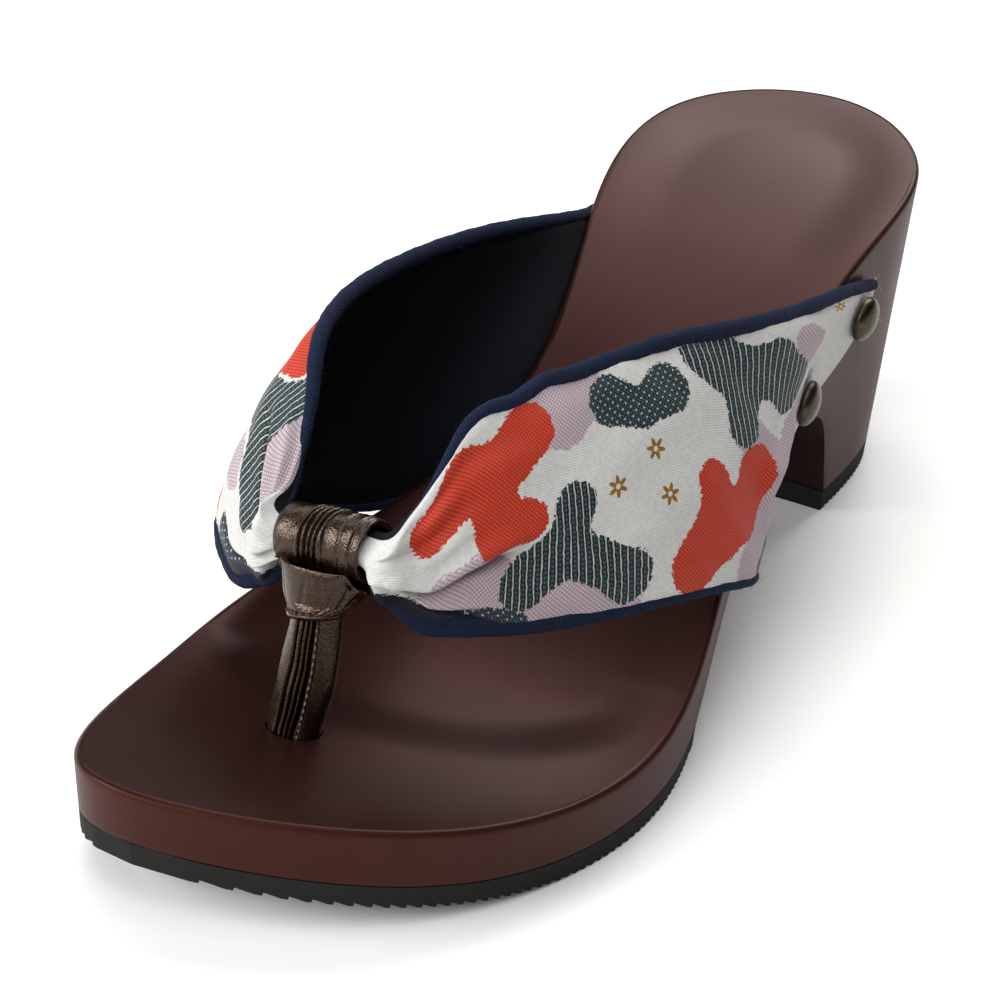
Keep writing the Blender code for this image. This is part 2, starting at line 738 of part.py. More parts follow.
def post_hole():
    """Cutter of the hole that the post goes down into."""
    low, high = (np.array(POST[i][:3]) for i in (0, 2))
    overrun = (high - low) * HOLE_OVERRUN
    sizes = POST[2].across, POST[2].along
    rings = [
        oval(Ring(*centre, *sizes), POST_HOLE_CLEARANCE)
        for centre in (low - overrun, high + overrun)
    ]
    return solid_loft("post_hole", rings, None)


def stud_frame(stud):
    """A stud's seat on the side wall and its outward direction."""
    reach = STUD_RADIUS
    y = stud.y + np.array([0.0, reach, -reach, 0.0, 0.0])
    z = stud.z + np.array([0.0, 0.0, 0.0, reach, -reach])
    x = wall_x(stud.side, y, z)
    outward = np.array([1.0, -(x[1] - x[2]) / (2.0 * reach), -(x[3] - x[4]) / (2.0 * reach)]) * stud.side
    seat = np.array([x[0], stud.y, stud.z])
    return seat, outward / np.linalg.norm(outward)


def turned(name, seat, outward, profile, material, sides):
    """A round piece turned about an outward line, from (radius, way out) pairs between two poles."""
    side = np.cross(outward, [0.0, 0.0, 1.0])
    side /= np.linalg.norm(side)
    up = np.cross(side, outward)
    start, *middle, end = profile
    vertices = [(seat + outward * start[1]).tolist()]
    loops = []
    for radius, way in middle:
        loops.append(list(range(len(vertices), len(vertices) + sides)))
        for a in angles(sides):
            spoke = side * math.cos(a) + up * math.sin(a)
            vertices.append((seat + outward * way + spoke * radius).tolist())
    last = len(vertices)
    vertices.append((seat + outward * end[1]).tolist())
    faces = [face[::-1] for face in wall_faces(loops)]
    for i in range(sides):
        following = (i + 1) % sides
        faces.append((0, loops[0][i], loops[0][following]))
        faces.append((last, loops[-1][following], loops[-1][i]))
    return mesh_object(name, vertices, faces, material)


def stud(place, material):
    """A domed stud with its shank through the strap into the block."""
    seat, outward = stud_frame(place)
    dome = [
        (STUD_RADIUS * math.cos(a), HEAD_SEAT + STUD_EDGE + (STUD_HEIGHT - STUD_EDGE) * math.sin(a))
        for a in np.linspace(0.0, DOME_END, DOME_RINGS)
    ]
    profile = [
        (0.0, HEAD_SEAT - SHANK_LENGTH),
        (SHANK_RADIUS, HEAD_SEAT - SHANK_LENGTH),
        (SHANK_RADIUS, HEAD_SEAT),
        (STUD_RADIUS - SHANK_CLEARANCE, HEAD_SEAT),
        *dome,
        (0.0, HEAD_SEAT + STUD_HEIGHT),
    ]
    return turned(place.name, seat, outward, profile, material, STUD_SIDES)


def stud_hole(place):
    """Cutter of a stud's hole through the strap into the block."""
    seat, outward = stud_frame(place)
    radius = SHANK_RADIUS + SHANK_CLEARANCE
    bottom = HEAD_SEAT - SHANK_LENGTH - GAP
    mouth = 2.0 * HEAD_SEAT
    profile = [(0.0, bottom), (radius, bottom), (radius, mouth), (0.0, mouth)]
    return turned(f"hole_{place.name}", seat, outward, profile, None, STUD_SIDES // 2)


def main():
    """Build every piece of the sandal."""
    for thing in list(bpy.data.objects):
        bpy.data.objects.remove(thing, do_unlink=True)
    lacquer = principled("lacquered_wood", (0.045, 0.012, 0.010), 0.32, coat=0.4)
    rubber = principled("black_rubber", (0.022, 0.023, 0.022), 0.75)
    cloth = principled("jacquard_cloth", (0.62, 0.58, 0.57), 0.8)
    leather = principled("bronze_leather", (0.10, 0.072, 0.052), 0.38, metallic=0.35)
    metal = principled("antique_brass", (0.16, 0.13, 0.095), 0.34, metallic=1.0)

    base = wooden_base(lacquer)
    outsole("front_outsole", TOE_Y, FOREFOOT_END, rubber)
    outsole("heel_outsole", HEEL_START, HEEL_Y, rubber)
    strap = strap_upper(cloth)
    toe_band(leather)
    toe_collar(leather)
    toe_post(leather)
    for place in STUDS:
        stud(place, metal)
    holes = [stud_hole(place) for place in STUDS]
    cut(base, [post_hole(), *holes])
    cut(strap, holes)


main()
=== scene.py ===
"""The dressed look of a woman's left geta sandal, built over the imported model.

The frame is the model's own: metres, +Y from toe to heel, +X to the outer side, +Z up and the floor at 0.
Sizes in the tables and fields are millimetres, as in the part's source, and become metres in a mesh.
"""

import logging
import math
from dataclasses import dataclass, field
from enum import Enum
from functools import partial
from typing import Callable, NamedTuple, Sequence

import bpy
import numpy as np
from mathutils import Matrix, Vector


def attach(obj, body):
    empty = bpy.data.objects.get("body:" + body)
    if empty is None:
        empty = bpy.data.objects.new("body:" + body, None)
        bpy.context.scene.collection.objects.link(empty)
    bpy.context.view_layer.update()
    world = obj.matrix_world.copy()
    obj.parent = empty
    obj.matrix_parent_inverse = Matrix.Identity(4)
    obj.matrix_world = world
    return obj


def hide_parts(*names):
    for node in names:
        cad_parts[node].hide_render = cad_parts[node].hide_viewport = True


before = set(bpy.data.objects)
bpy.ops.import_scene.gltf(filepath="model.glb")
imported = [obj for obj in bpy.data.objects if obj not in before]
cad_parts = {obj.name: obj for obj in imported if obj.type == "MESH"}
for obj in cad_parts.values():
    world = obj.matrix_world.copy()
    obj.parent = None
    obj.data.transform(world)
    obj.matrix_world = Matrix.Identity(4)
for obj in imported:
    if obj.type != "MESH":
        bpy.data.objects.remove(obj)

log = logging.getLogger("geta")

MM = 0.001
GAP = 0.3
MEDIAL = -1
LATERAL = 1


# Small tools


def cubic(knots: Sequence[float], values: Sequence, at: Sequence[float], closed: bool = False) -> np.ndarray:
    """Read a cubic spline at the places asked for.

    Args:
        knots: Places of the values, rising.
        values: One row of numbers for each knot.
        at: Places to read.
        closed: Whether the last value runs on into the first.

    Returns:
        One row for each place in at.
    """
    knots, values, at = (np.asarray(part, float) for part in (knots, values, at))
    steps = np.diff(knots)
    slopes = np.diff(values, axis=0) / steps[:, None]
    count = len(steps) if closed else len(knots)
    matrix = np.zeros((count, count))
    right = np.zeros((count, values.shape[1]))
    for i in range(count):
        if not closed and i in (0, count - 1):
            matrix[i, i] = 1.0
            continue
        matrix[i, i - 1] += steps[i - 1]
        matrix[i, i] += 2.0 * (steps[i - 1] + steps[i])
        matrix[i, (i + 1) % count] += steps[i]
        right[i] = 6.0 * (slopes[i] - slopes[i - 1])
    bend = np.linalg.solve(matrix, right)
    if closed:
        bend = np.vstack([bend, bend[:1]])
    i = np.clip(np.searchsorted(knots, at, side="right") - 1, 0, len(steps) - 1)
    step = steps[i][:, None]
    after = (at - knots[i])[:, None] / step
    before = 1.0 - after
    straight = before * values[i] + after * values[i + 1]
    return straight + ((before**3 - before) * bend[i] + (after**3 - after) * bend[i + 1]) * step**2 / 6.0


def smoothstep(value: np.ndarray) -> np.ndarray:
    """Soft step from 0 to 1."""
    value = np.clip(value, 0.0, 1.0)
    return value * value * (3.0 - 2.0 * value)


def follow(path: Sequence, points: np.ndarray) -> tuple[np.ndarray, np.ndarray]:
    """Find where points lie beside a path in the plane.

    Args:
        path: Corners of an open path, each (x, y).
        points: Points, one row each.

    Returns:
        The signed distance from the path, positive on its left, and the share of the path's length passed.
    """
    path = np.asarray(path, float)
    start, along = path[:-1], np.diff(path, axis=0)
    length = np.linalg.norm(along, axis=1)
    offset = points[:, None] - start
    share = np.clip((offset * along).sum(-1) / length**2, 0.0, 1.0)
    gap = offset - share[..., None] * along
    nearest = np.linalg.norm(gap, axis=-1).argmin(axis=1)
    row = np.arange(len(points))
    way = (np.r_[0.0, np.cumsum(length)][nearest] + share[row, nearest] * length[nearest]) / length.sum()
    beside = gap[row, nearest]
    turn = along[nearest, 0] * beside[:, 1] - along[nearest, 1] * beside[:, 0]
    return np.where(turn < 0.0, -1.0, 1.0) * np.linalg.norm(beside, axis=1), way


def eased(start: float, end: float, count: int) -> np.ndarray:
    """Places from start to end, closer together near the start."""
    return start + (end - start) * (1.0 - np.cos(np.linspace(0.0, math.pi / 2.0, count)))


def linear(code: str) -> tuple[float, float, float, float]:
    """Turn a colour into the linear one that a shader takes.

    Args:
        code: The sRGB hex code.

    Returns:
        Its red, green, blue and alpha.
    """
    parts = (int(code[i : i + 2], 16) / 255.0 for i in (1, 3, 5))
    red, green, blue = (c / 12.92 if c <= 0.04045 else ((c + 0.055) / 1.055) ** 2.4 for c in parts)
    return red, green, blue, 1.0


def mesh_piece(name: str, points: np.ndarray, faces: Sequence, sharp: float = 40.0) -> bpy.types.Object:
    """Make a smooth-shaded piece from points in millimetres.

    Args:
        name: The piece's name.
        points: Its vertices, one row each.
        faces: Vertex numbers of each face, turned outwards.
        sharp: Angle in degrees past which an edge stays sharp.

    Returns:
        The new object, at the origin.
    """
    mesh = bpy.data.meshes.new(name)
    mesh.from_pydata((np.asarray(points, float) * MM).tolist(), [], faces)
    mesh.validate()
    mesh.shade_smooth()
    mesh.set_sharp_from_angle(angle=math.radians(sharp))
    piece = bpy.data.objects.new(name, mesh)
    bpy.context.collection.objects.link(piece)
    return piece


def strip(first: Sequence[int], second: Sequence[int], closed: bool = True) -> list[tuple[int, ...]]:
    """Join two rows of vertices by quads.

    Args:
        first: Vertex numbers of one row.
        second: Those of the other, as many.
        closed: Whether the rows run round.

    Returns:
        The quads.
    """
    count = len(first)
    return [
        (first[i], first[(i + 1) % count], second[(i + 1) % count], second[i])
        for i in range(count if closed else count - 1)
    ]


def out_and_back(face: np.ndarray, back: np.ndarray) -> np.ndarray:
    """Join two grids as rows that run out along one and back along the other."""
    return np.concatenate([face, back[:, ::-1]], axis=1)


def attribute(piece: bpy.types.Object, name: str, kind: str, values: np.ndarray) -> None:
    """Store one value for each vertex of a piece, for its material to read.

    Args:
        piece: The piece.
        name: The attribute's name.
        kind: FLOAT or FLOAT_VECTOR.
        values: The values, in the order of the vertices.
    """
    layer = piece.data.attributes.new(name, kind, "POINT")
    layer.data.foreach_set("vector" if kind == "FLOAT_VECTOR" else "value", np.ravel(values))


def alone(piece: bpy.types.Object) -> None:
    """Leave one piece selected and active."""
    bpy.ops.object.select_all(action="DESELECT")
    piece.select_set(True)
    bpy.context.view_layer.objects.active = piece


def edit(piece: bpy.types.Object, chosen: Callable[[bpy.types.MeshVertex], bool] | None = None) -> None:
    """Enter edit mode with some of a piece's vertices selected.

    Args:
        piece: The piece to work on.
        chosen: Test of a vertex; all are taken without it.
    """
    alone(piece)
    bpy.ops.object.mode_set(mode="EDIT")
    bpy.ops.mesh.select_mode(type="VERT")
    bpy.ops.mesh.select_all(action="SELECT" if chosen is None else "DESELECT")
    if chosen is not None:
        bpy.ops.object.mode_set(mode="OBJECT")
        for vertex in piece.data.vertices:
            vertex.select = chosen(vertex)
        bpy.ops.object.mode_set(mode="EDIT")


def done() -> None:
    """Leave edit mode."""
    bpy.ops.object.mode_set(mode="OBJECT")


def settle(piece: bpy.types.Object, place: Matrix) -> None:
    """Carry a piece's mesh to its place, with the object itself left at the origin.

    Args:
        piece: The piece, anywhere.
        place: Where it goes, in metres.
    """
    piece.data.transform(piece.matrix_world)
    piece.matrix_world = Matrix.Identity(4)
    piece.data.transform(place)


def sculpt(piece: bpy.types.Object, shape: Callable[[np.ndarray], np.ndarray]) -> None:
    """Move all of a piece's vertices.

    Args:
        piece: The piece.
        shape: Gives the new places for the old ones, both in millimetres, one row each.
    """
    places = np.empty(3 * len(piece.data.vertices))
    piece.data.vertices.foreach_get("co", places)
    moved = shape(places.reshape(-1, 3) / MM)
    piece.data.vertices.foreach_set("co", np.ravel(moved * MM))
    piece.data.update()


def modified(piece: bpy.types.Object, kind: str, **settings: object) -> None:
    """Give a piece a modifier and apply it.

    Args:
        piece: The piece.
        kind: Blender's name for the kind of modifier.
        **settings: Its settings.
    """
    alone(piece)
    modifier = piece.modifiers.new(kind.title(), kind)
    for name, value in settings.items():
        setattr(modifier, name, value)
    bpy.ops.object.modifier_apply(modifier=modifier.name)


def joined(pieces: Sequence[bpy.types.Object], name: str) -> bpy.types.Object:
    """Join copies of a small thing into one piece.

    Args:
        pieces: The copies.
        name: Name of the piece that they become.

    Returns:
        That piece.
    """
    alone(pieces[0])
    for piece in pieces:
        piece.select_set(True)
    bpy.ops.object.join()
    pieces[0].name = name
    return pieces[0]


def copied(piece: bpy.types.Object, place: Matrix) -> bpy.types.Object:
    """Copy a piece with its own mesh to another place.

    Args:
        piece: The piece to copy.
        place: Where it goes, seen from its own place.

    Returns:
        The copy.
    """
    twin = piece.copy()
    twin.data = piece.data.copy()
    twin.data.transform(place)
    bpy.context.collection.objects.link(twin)
    return twin


def fit(piece: bpy.types.Object, slot: str, finish: "Finish", *replaced: str) -> None:
    """Dress a piece, let it ride on the sandal, and hide the plain solids that it stands for.

    Args:
        piece: The finished piece.
        slot: Name of a material slot; not used.
        finish: Its finish.
        *replaced: Names of the solids that it replaces.
    """
    piece.data.materials.clear()
    piece.data.materials.append(finish.material())
    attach(piece, "root")
    if replaced:
        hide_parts(*replaced)
    log.info("%s: %d faces", piece.name, len(piece.data.polygons))


# Finishes


Socket = bpy.types.NodeSocket
AddNode = Callable[..., Socket]
BLEND = {"output": 2, "data_type": "RGBA"}


def cells(size: float) -> float:
    """Scale at which a texture's cells are as wide as a size in millimetres."""
    return 1.0 / (size * MM)


def feed(tree: bpy.types.NodeTree, node: bpy.types.Node, inputs: dict) -> None:
    """Fill a node's inputs, by name or number.

    Args:
        tree: The tree that the node is in.
        node: The node.
        inputs: What goes in: a socket is linked, and a value or a hex colour is set on the node.
    """
    for key, value in inputs.items():
        if isinstance(value, Socket):
            tree.links.new(value, node.inputs[key])
        else:
            node.inputs[key].default_value = linear(value) if isinstance(value, str) else value


def add_node(
    tree: bpy.types.NodeTree, kind: str, inputs: dict | None = None, output: int = 0, **settings: object
) -> Socket:
    """Add a shader node with its settings and links.

    Inputs go by number where their names repeat. MapRange takes a value, its two old limits and its two new
    ones. A blend of colours takes its mask at 0 and the colours for 0 and 1 at 6 and 7.

    Args:
        tree: The tree to add it to.
        kind: The node's type, without its common first word.
        inputs: What goes into its inputs.
        output: Number of the output wanted.
        **settings: Its other properties.

    Returns:
        That output.
    """
    node = tree.nodes.new(f"ShaderNode{kind}")
    for name, value in settings.items():
        setattr(node, name, value)
    feed(tree, node, inputs or {})
    return node.outputs[output]


def threads(add: AddNode, way: Socket, pitch: float, duty: float) -> Socket:
    """Mask of evenly spaced threads.

    Args:
        add: Adds a node to the material.
        way: Distance across the threads, in millimetres.
        pitch: Distance from thread to thread.
        duty: Share of the pitch that a thread fills.

    Returns:
        1 on each thread, falling to 0 in the furrow between two.
    """
    wave = add("Math", {0: way, 1: pitch / 2.0}, operation="PINGPONG")
    edge = pitch * duty / 2.0
    blur = min(pitch * 0.12, 0.07)
    limits = {1: edge + blur, 2: edge - blur, 3: 0.0, 4: 1.0}
    return add("MapRange", {0: wave, **limits}, interpolation_type="SMOOTHSTEP")


@dataclass(frozen=True)
class Finish:
    """What all finishes share: a name, a roughness and a metallic share on the shader's own sockets."""

    name: str
    roughness: float = 0.5
    metallic: float = 0.0

    def material(self) -> bpy.types.Material:
        """Make the material, or give back the one already made."""
        known = bpy.data.materials.get(f"{self.name}_finish")
        if known:
            return known
        material = bpy.data.materials.new(f"{self.name}_finish")
        material.use_nodes = True
        tree = material.node_tree
        shader = tree.nodes["Principled BSDF"]
        feed(tree, shader, {"Roughness": self.roughness, "Metallic": self.metallic})
        feed(tree, shader, self.shade(partial(add_node, tree)))
        return material

    def shade(self, add: AddNode) -> dict:
        """Work out the finish's own colours and relief.

        Args:
            add: Adds a node to the material.

        Returns:
            What goes into the shader's inputs.
        """
        raise NotImplementedError


@dataclass(frozen=True)
class LacqueredWood(Finish):
    """Sprayed brown lacquer over alder: satin, with broad soft reflections and the faintest grain below."""

    name: str = "lacquered_wood"
    roughness: float = 0.33
    dark: str = "#1b0c0a"
    light: str = "#25120f"
    # painted light: the side walls get lighter, redder colours than the footbed, standing in for the light
    # that falls on them
    painted_lit_wall_dark: str = "#26100c"
    painted_lit_wall_light: str = "#341811"
    # painted shade: the near-black colour of the faces under the arch
    arch: str = "#0d0606"
    gloss_tint: str = "#ffa89a"
    grain_width: float = 3.03
    grain_length: float = 62.5
    cloud_size: float = 35.7
    peel_size: float = 1.11
    arch_front: float = -24.5
    arch_back: float = 69.5

    def shade(self, add: AddNode) -> dict:
        """Grain lines along the sole, a cloudy depth, and fine orange peel in the lacquer.

        Args:
            add: Adds a node to the material.

        Returns:
            What goes into the shader's inputs.
        """
        place = add("TexCoord", output=3)
        width, length = cells(self.grain_width), cells(self.grain_length)
        along = add("Mapping", {"Vector": place, "Scale": (width, length, width)})
        grain = add("TexNoise", {"Vector": along, "Scale": 1.0, "Detail": 6.0, "Roughness": 0.6})
        cloud = add("TexNoise", {"Vector": place, "Scale": cells(self.cloud_size), "Detail": 2.0})
        peel = add("TexNoise", {"Vector": place, "Scale": cells(self.peel_size), "Detail": 1.0})
        tone = add("Math", {0: grain, 1: 0.75}, operation="MULTIPLY")
        tone = add("Math", {0: cloud, 1: 0.35, 2: tone}, operation="MULTIPLY_ADD")
        facing = add("SeparateXYZ", {0: add("NewGeometry", output=1)}).node.outputs
        # steep is 0 on the footbed and 1 on the walls; below, it blends in the walls' painted-light colours
        steep = add("MapRange", {0: facing[2], 1: 0.9, 2: 0.4, 3: 0.0, 4: 1.0})
        top = add("Mix", {0: tone, 6: self.dark, 7: self.light}, **BLEND)
        wall = add("Mix", {0: tone, 6: self.painted_lit_wall_dark, 7: self.painted_lit_wall_light}, **BLEND)
        colour = add("Mix", {0: steep, 6: top, 7: wall}, **BLEND)
        # painted shade: the faces under the arch are coloured near-black
        arch = self.arch_shade_mask(add, place, facing)
        shine = self.roughness - 0.03, self.roughness + 0.05
        satin = add("MapRange", {0: cloud, 1: 0.3, 2: 0.7, 3: shine[0], 4: shine[1]})
        relief = add("Math", {0: grain, 1: 0.5, 2: peel}, operation="MULTIPLY_ADD")
        return {
            "Base Color": add("Mix", {0: arch, 6: colour, 7: self.arch}, **BLEND),
            "Roughness": add("Math", {0: steep, 1: 0.14, 2: satin}, operation="MULTIPLY_ADD"),
            "Specular IOR Level": 0.22,
            "Specular Tint": self.gloss_tint,
            "Normal": add("Bump", {"Strength": 0.05, "Distance": 0.0002, "Height": relief}),
        }

    def arch_shade_mask(self, add: AddNode, place: Socket, facing: Sequence[Socket]) -> Socket:
        """Mask of the faces under the arch, where the lacquer is dull and painted shade makes it almost
        black.

        Args:
            add: Adds a node to the material.
            place: Place on the block, in metres.
            facing: The surface's direction, one socket for each axis.

        Returns:
            1 under the arch, 0 on the outer faces.
        """
        along = add("SeparateXYZ", {0: place}).node.outputs[1]
        sideways = add("Math", {0: facing[0]}, operation="ABSOLUTE")
        mask = add("MapRange", {0: sideways, 1: 0.92, 2: 0.55, 3: 0.0, 4: 1.0})
        limits = (
            add("MapRange", {0: facing[2], 1: 0.2, 2: 0.0, 3: 0.0, 4: 1.0}),
            add("Math", {0: along, 1: self.arch_front * MM}, operation="GREATER_THAN"),
            add("Math", {0: along, 1: self.arch_back * MM}, operation="LESS_THAN"),
        )
        for limit in limits:
            mask = add("Math", {0: mask, 1: limit}, operation="MULTIPLY")
        return mask


@dataclass(frozen=True)
class MouldedRubber(Finish):
    """Moulded rubber: dark grey and matt, a little dusty, with a fine grain."""

    name: str = "moulded_rubber"
    roughness: float = 0.85
    dark: str = "#0e0f0e"
    light: str = "#191a18"
    dust_size: float = 8.33
    grain_size: float = 0.333

    def shade(self, add: AddNode) -> dict:
        """Blotches of dust over the mould's grain.

        Args:
            add: Adds a node to the material.

        Returns:
            What goes into the shader's inputs.
        """
        place = add("TexCoord", output=3)
        dust = add(
            "TexNoise", {"Vector": place, "Scale": cells(self.dust_size), "Detail": 5.0, "Roughness": 0.7}
        )
        grain = add("TexNoise", {"Vector": place, "Scale": cells(self.grain_size), "Detail": 2.0})
        return {
            "Base Color": add("Mix", {0: dust, 6: self.dark, 7: self.light}, **BLEND),
            "Specular IOR Level": 0.25,
            "Normal": add("Bump", {"Strength": 0.4, "Distance": 0.0001, "Height": grain}),
        }


@dataclass(frozen=True)
class BronzeLeather(Finish):
    """Foiled goatskin: dark bronze with a metallic film, glinting on a fine grain, dark in the wrinkles."""

    name: str = "bronze_leather"
    roughness: float = 0.4
    metallic: float = 0.85
    dark: str = "#080503"
    light: str = "#3b291a"
    grain_size: float = 0.4
    wrinkle_size: float = 1.176
    wander_size: float = 2.94
    wander: float = 1.2
    cloud_size: float = 2.0

    def shade(self, add: AddNode) -> dict:
        """Grain drawn 0.4 mm wide where the real one is 0.25 mm, and hair-fine wrinkles 1 to 2 mm apart.

        Args:
            add: Adds a node to the material.

        Returns:
            What goes into the shader's inputs.
        """
        place = add("TexCoord", output=3)
        warp = add("TexNoise", {"Vector": place, "Scale": cells(self.wander_size), "Detail": 3.0}, 1)
        moved = add("VectorMath", {0: warp, 1: (self.wander * MM,) * 3, 2: place}, operation="MULTIPLY_ADD")
        wrinkle = add(
            "TexVoronoi", {"Vector": moved, "Scale": cells(self.wrinkle_size)}, feature="DISTANCE_TO_EDGE"
        )
        crease = add("MapRange", {0: wrinkle, 1: 0.0, 2: 0.09, 3: 0.0, 4: 1.0})
        grain = add("TexVoronoi", {"Vector": place, "Scale": cells(self.grain_size)})
        cloud = add(
            "TexNoise", {"Vector": place, "Scale": cells(self.cloud_size), "Detail": 3.0, "Roughness": 0.6}
        )
        tone, relief = 0.75, 0.0
        for pattern, darkening, rise in ((grain, -0.5, -1.4), (cloud, 0.4, 0.4), (crease, 0.12, 0.12)):
            tone = add("Math", {0: pattern, 1: darkening, 2: tone}, operation="MULTIPLY_ADD")
            relief = add("Math", {0: pattern, 1: rise, 2: relief}, operation="MULTIPLY_ADD")
        bump = add("Bump", {"Strength": 0.42, "Distance": 0.00012, "Height": relief})
        return {
            "Base Color": add("Mix", {0: tone, 6: self.dark, 7: self.light}, **BLEND),
            "Roughness": add("MapRange", {0: cloud, 1: 0.3, 2: 0.7, 3: 0.25, 4: 0.32}),
            "Coat Weight": 0.4,
            "Coat Roughness": 0.12,
            "Normal": bump,
            "Coat Normal": bump,
        }


@dataclass(frozen=True)
class AntiqueBrass(Finish):
    """Cast brass under a dark antique patina, lighter and darker in clouds."""

    name: str = "antique_brass"
    roughness: float = 0.34
    metallic: float = 1.0
    dark: str = "#1f1b15"
    light: str = "#574f41"
    patina_size: float = 1.43

    def shade(self, add: AddNode) -> dict:
        """Clouds of patina, matt where they are dark.

        Args:
            add: Adds a node to the material.

        Returns:
            What goes into the shader's inputs.
        """
        place = add("TexCoord", output=3)
        patina = add(
            "TexNoise", {"Vector": place, "Scale": cells(self.patina_size), "Detail": 4.0, "Roughness": 0.6}
        )
        return {
            "Base Color": add("Mix", {0: patina, 6: self.dark, 7: self.light}, **BLEND),
            "Roughness": add("MapRange", {0: patina, 1: 0.3, 2: 0.7, 3: 0.45, 4: 0.27}),
            "Normal": add("Bump", {"Strength": 0.15, "Distance": 0.0001, "Height": patina}),
        }


@dataclass(frozen=True)
class NavyFlannel(Finish):
    """Brushed cotton flannel in navy: dark and soft, with a raised nap that lightens its edges."""

    name: str = "navy_flannel"
    roughness: float = 0.95
    dark: str = "#04070f"
    light: str = "#15213e"
    nap_tint: str = "#2f4878"
    sheen: float = 0.035
    rib: float = 0.8
    nap_size: float = 0.667

    def shade(self, add: AddNode) -> dict:
        """Twill ribs, drawn 0.8 mm apart where the real ones are 0.5 mm, under a fibrous nap.

        Args:
            add: Adds a node to the material.

        Returns:
            What goes into the shader's inputs.
        """
        flat = add("SeparateXYZ", {0: add("UVMap", uv_map="cloth")}).node.outputs
        slant = add("Math", {0: flat[1], 1: 0.8, 2: flat[0]}, operation="MULTIPLY_ADD")
        rib = threads(add, slant, self.rib, 0.6)
        place = add("TexCoord", output=3)
        nap = add(
            "TexNoise", {"Vector": place, "Scale": cells(self.nap_size), "Detail": 4.0, "Roughness": 0.75}
        )
        tone = add("Math", {0: rib, 1: 0.3, 2: nap}, operation="MULTIPLY_ADD")
        tone = add("MapRange", {0: tone, 1: 0.3, 2: 1.0, 3: 0.0, 4: 1.0})
        relief = add("Math", {0: rib, 1: 0.5, 2: nap}, operation="MULTIPLY_ADD")
        return {
            "Base Color": add("Mix", {0: tone, 6: self.dark, 7: self.light}, **BLEND),
            "Specular IOR Level": 0.2,
            "Sheen Weight": self.sheen,
            "Sheen Roughness": 0.36,
            "Sheen Tint": self.nap_tint,
            "Normal": add("Bump", {"Strength": 0.5, "Distance": 0.00025, "Height": relief}),
        }


@dataclass(frozen=True)
class Fibre(Finish):
    """Loose cotton fibre, as lint, frayed threads and stitches are made of."""

    name: str = "fibre"
    roughness: float = 0.8
    colour: str = "#24304e"
    speckle_size: float = 0.667

    def shade(self, add: AddNode) -> dict:
        """A little lighter and darker from fibre to fibre.

        Args:
            add: Adds a node to the material.

        Returns:
            What goes into the shader's inputs.
        """
        speckle = add("TexNoise", {"Vector": add("TexCoord", output=3), "Scale": cells(self.speckle_size)})
        value = add("MapRange", {0: speckle, 1: 0.3, 2: 0.7, 3: 0.7, 4: 1.3})
        return {"Base Color": add("HueSaturation", {"Color": self.colour, "Value": value})}


class Ink(Enum):
    """The woven colours of the jacquard, each with the attribute that tells how far its patch is."""

    RED = "red"
    STRIPE = "stripe"
    DOT = "dot"
    LILAC = "lilac"
    LINING = "lining"


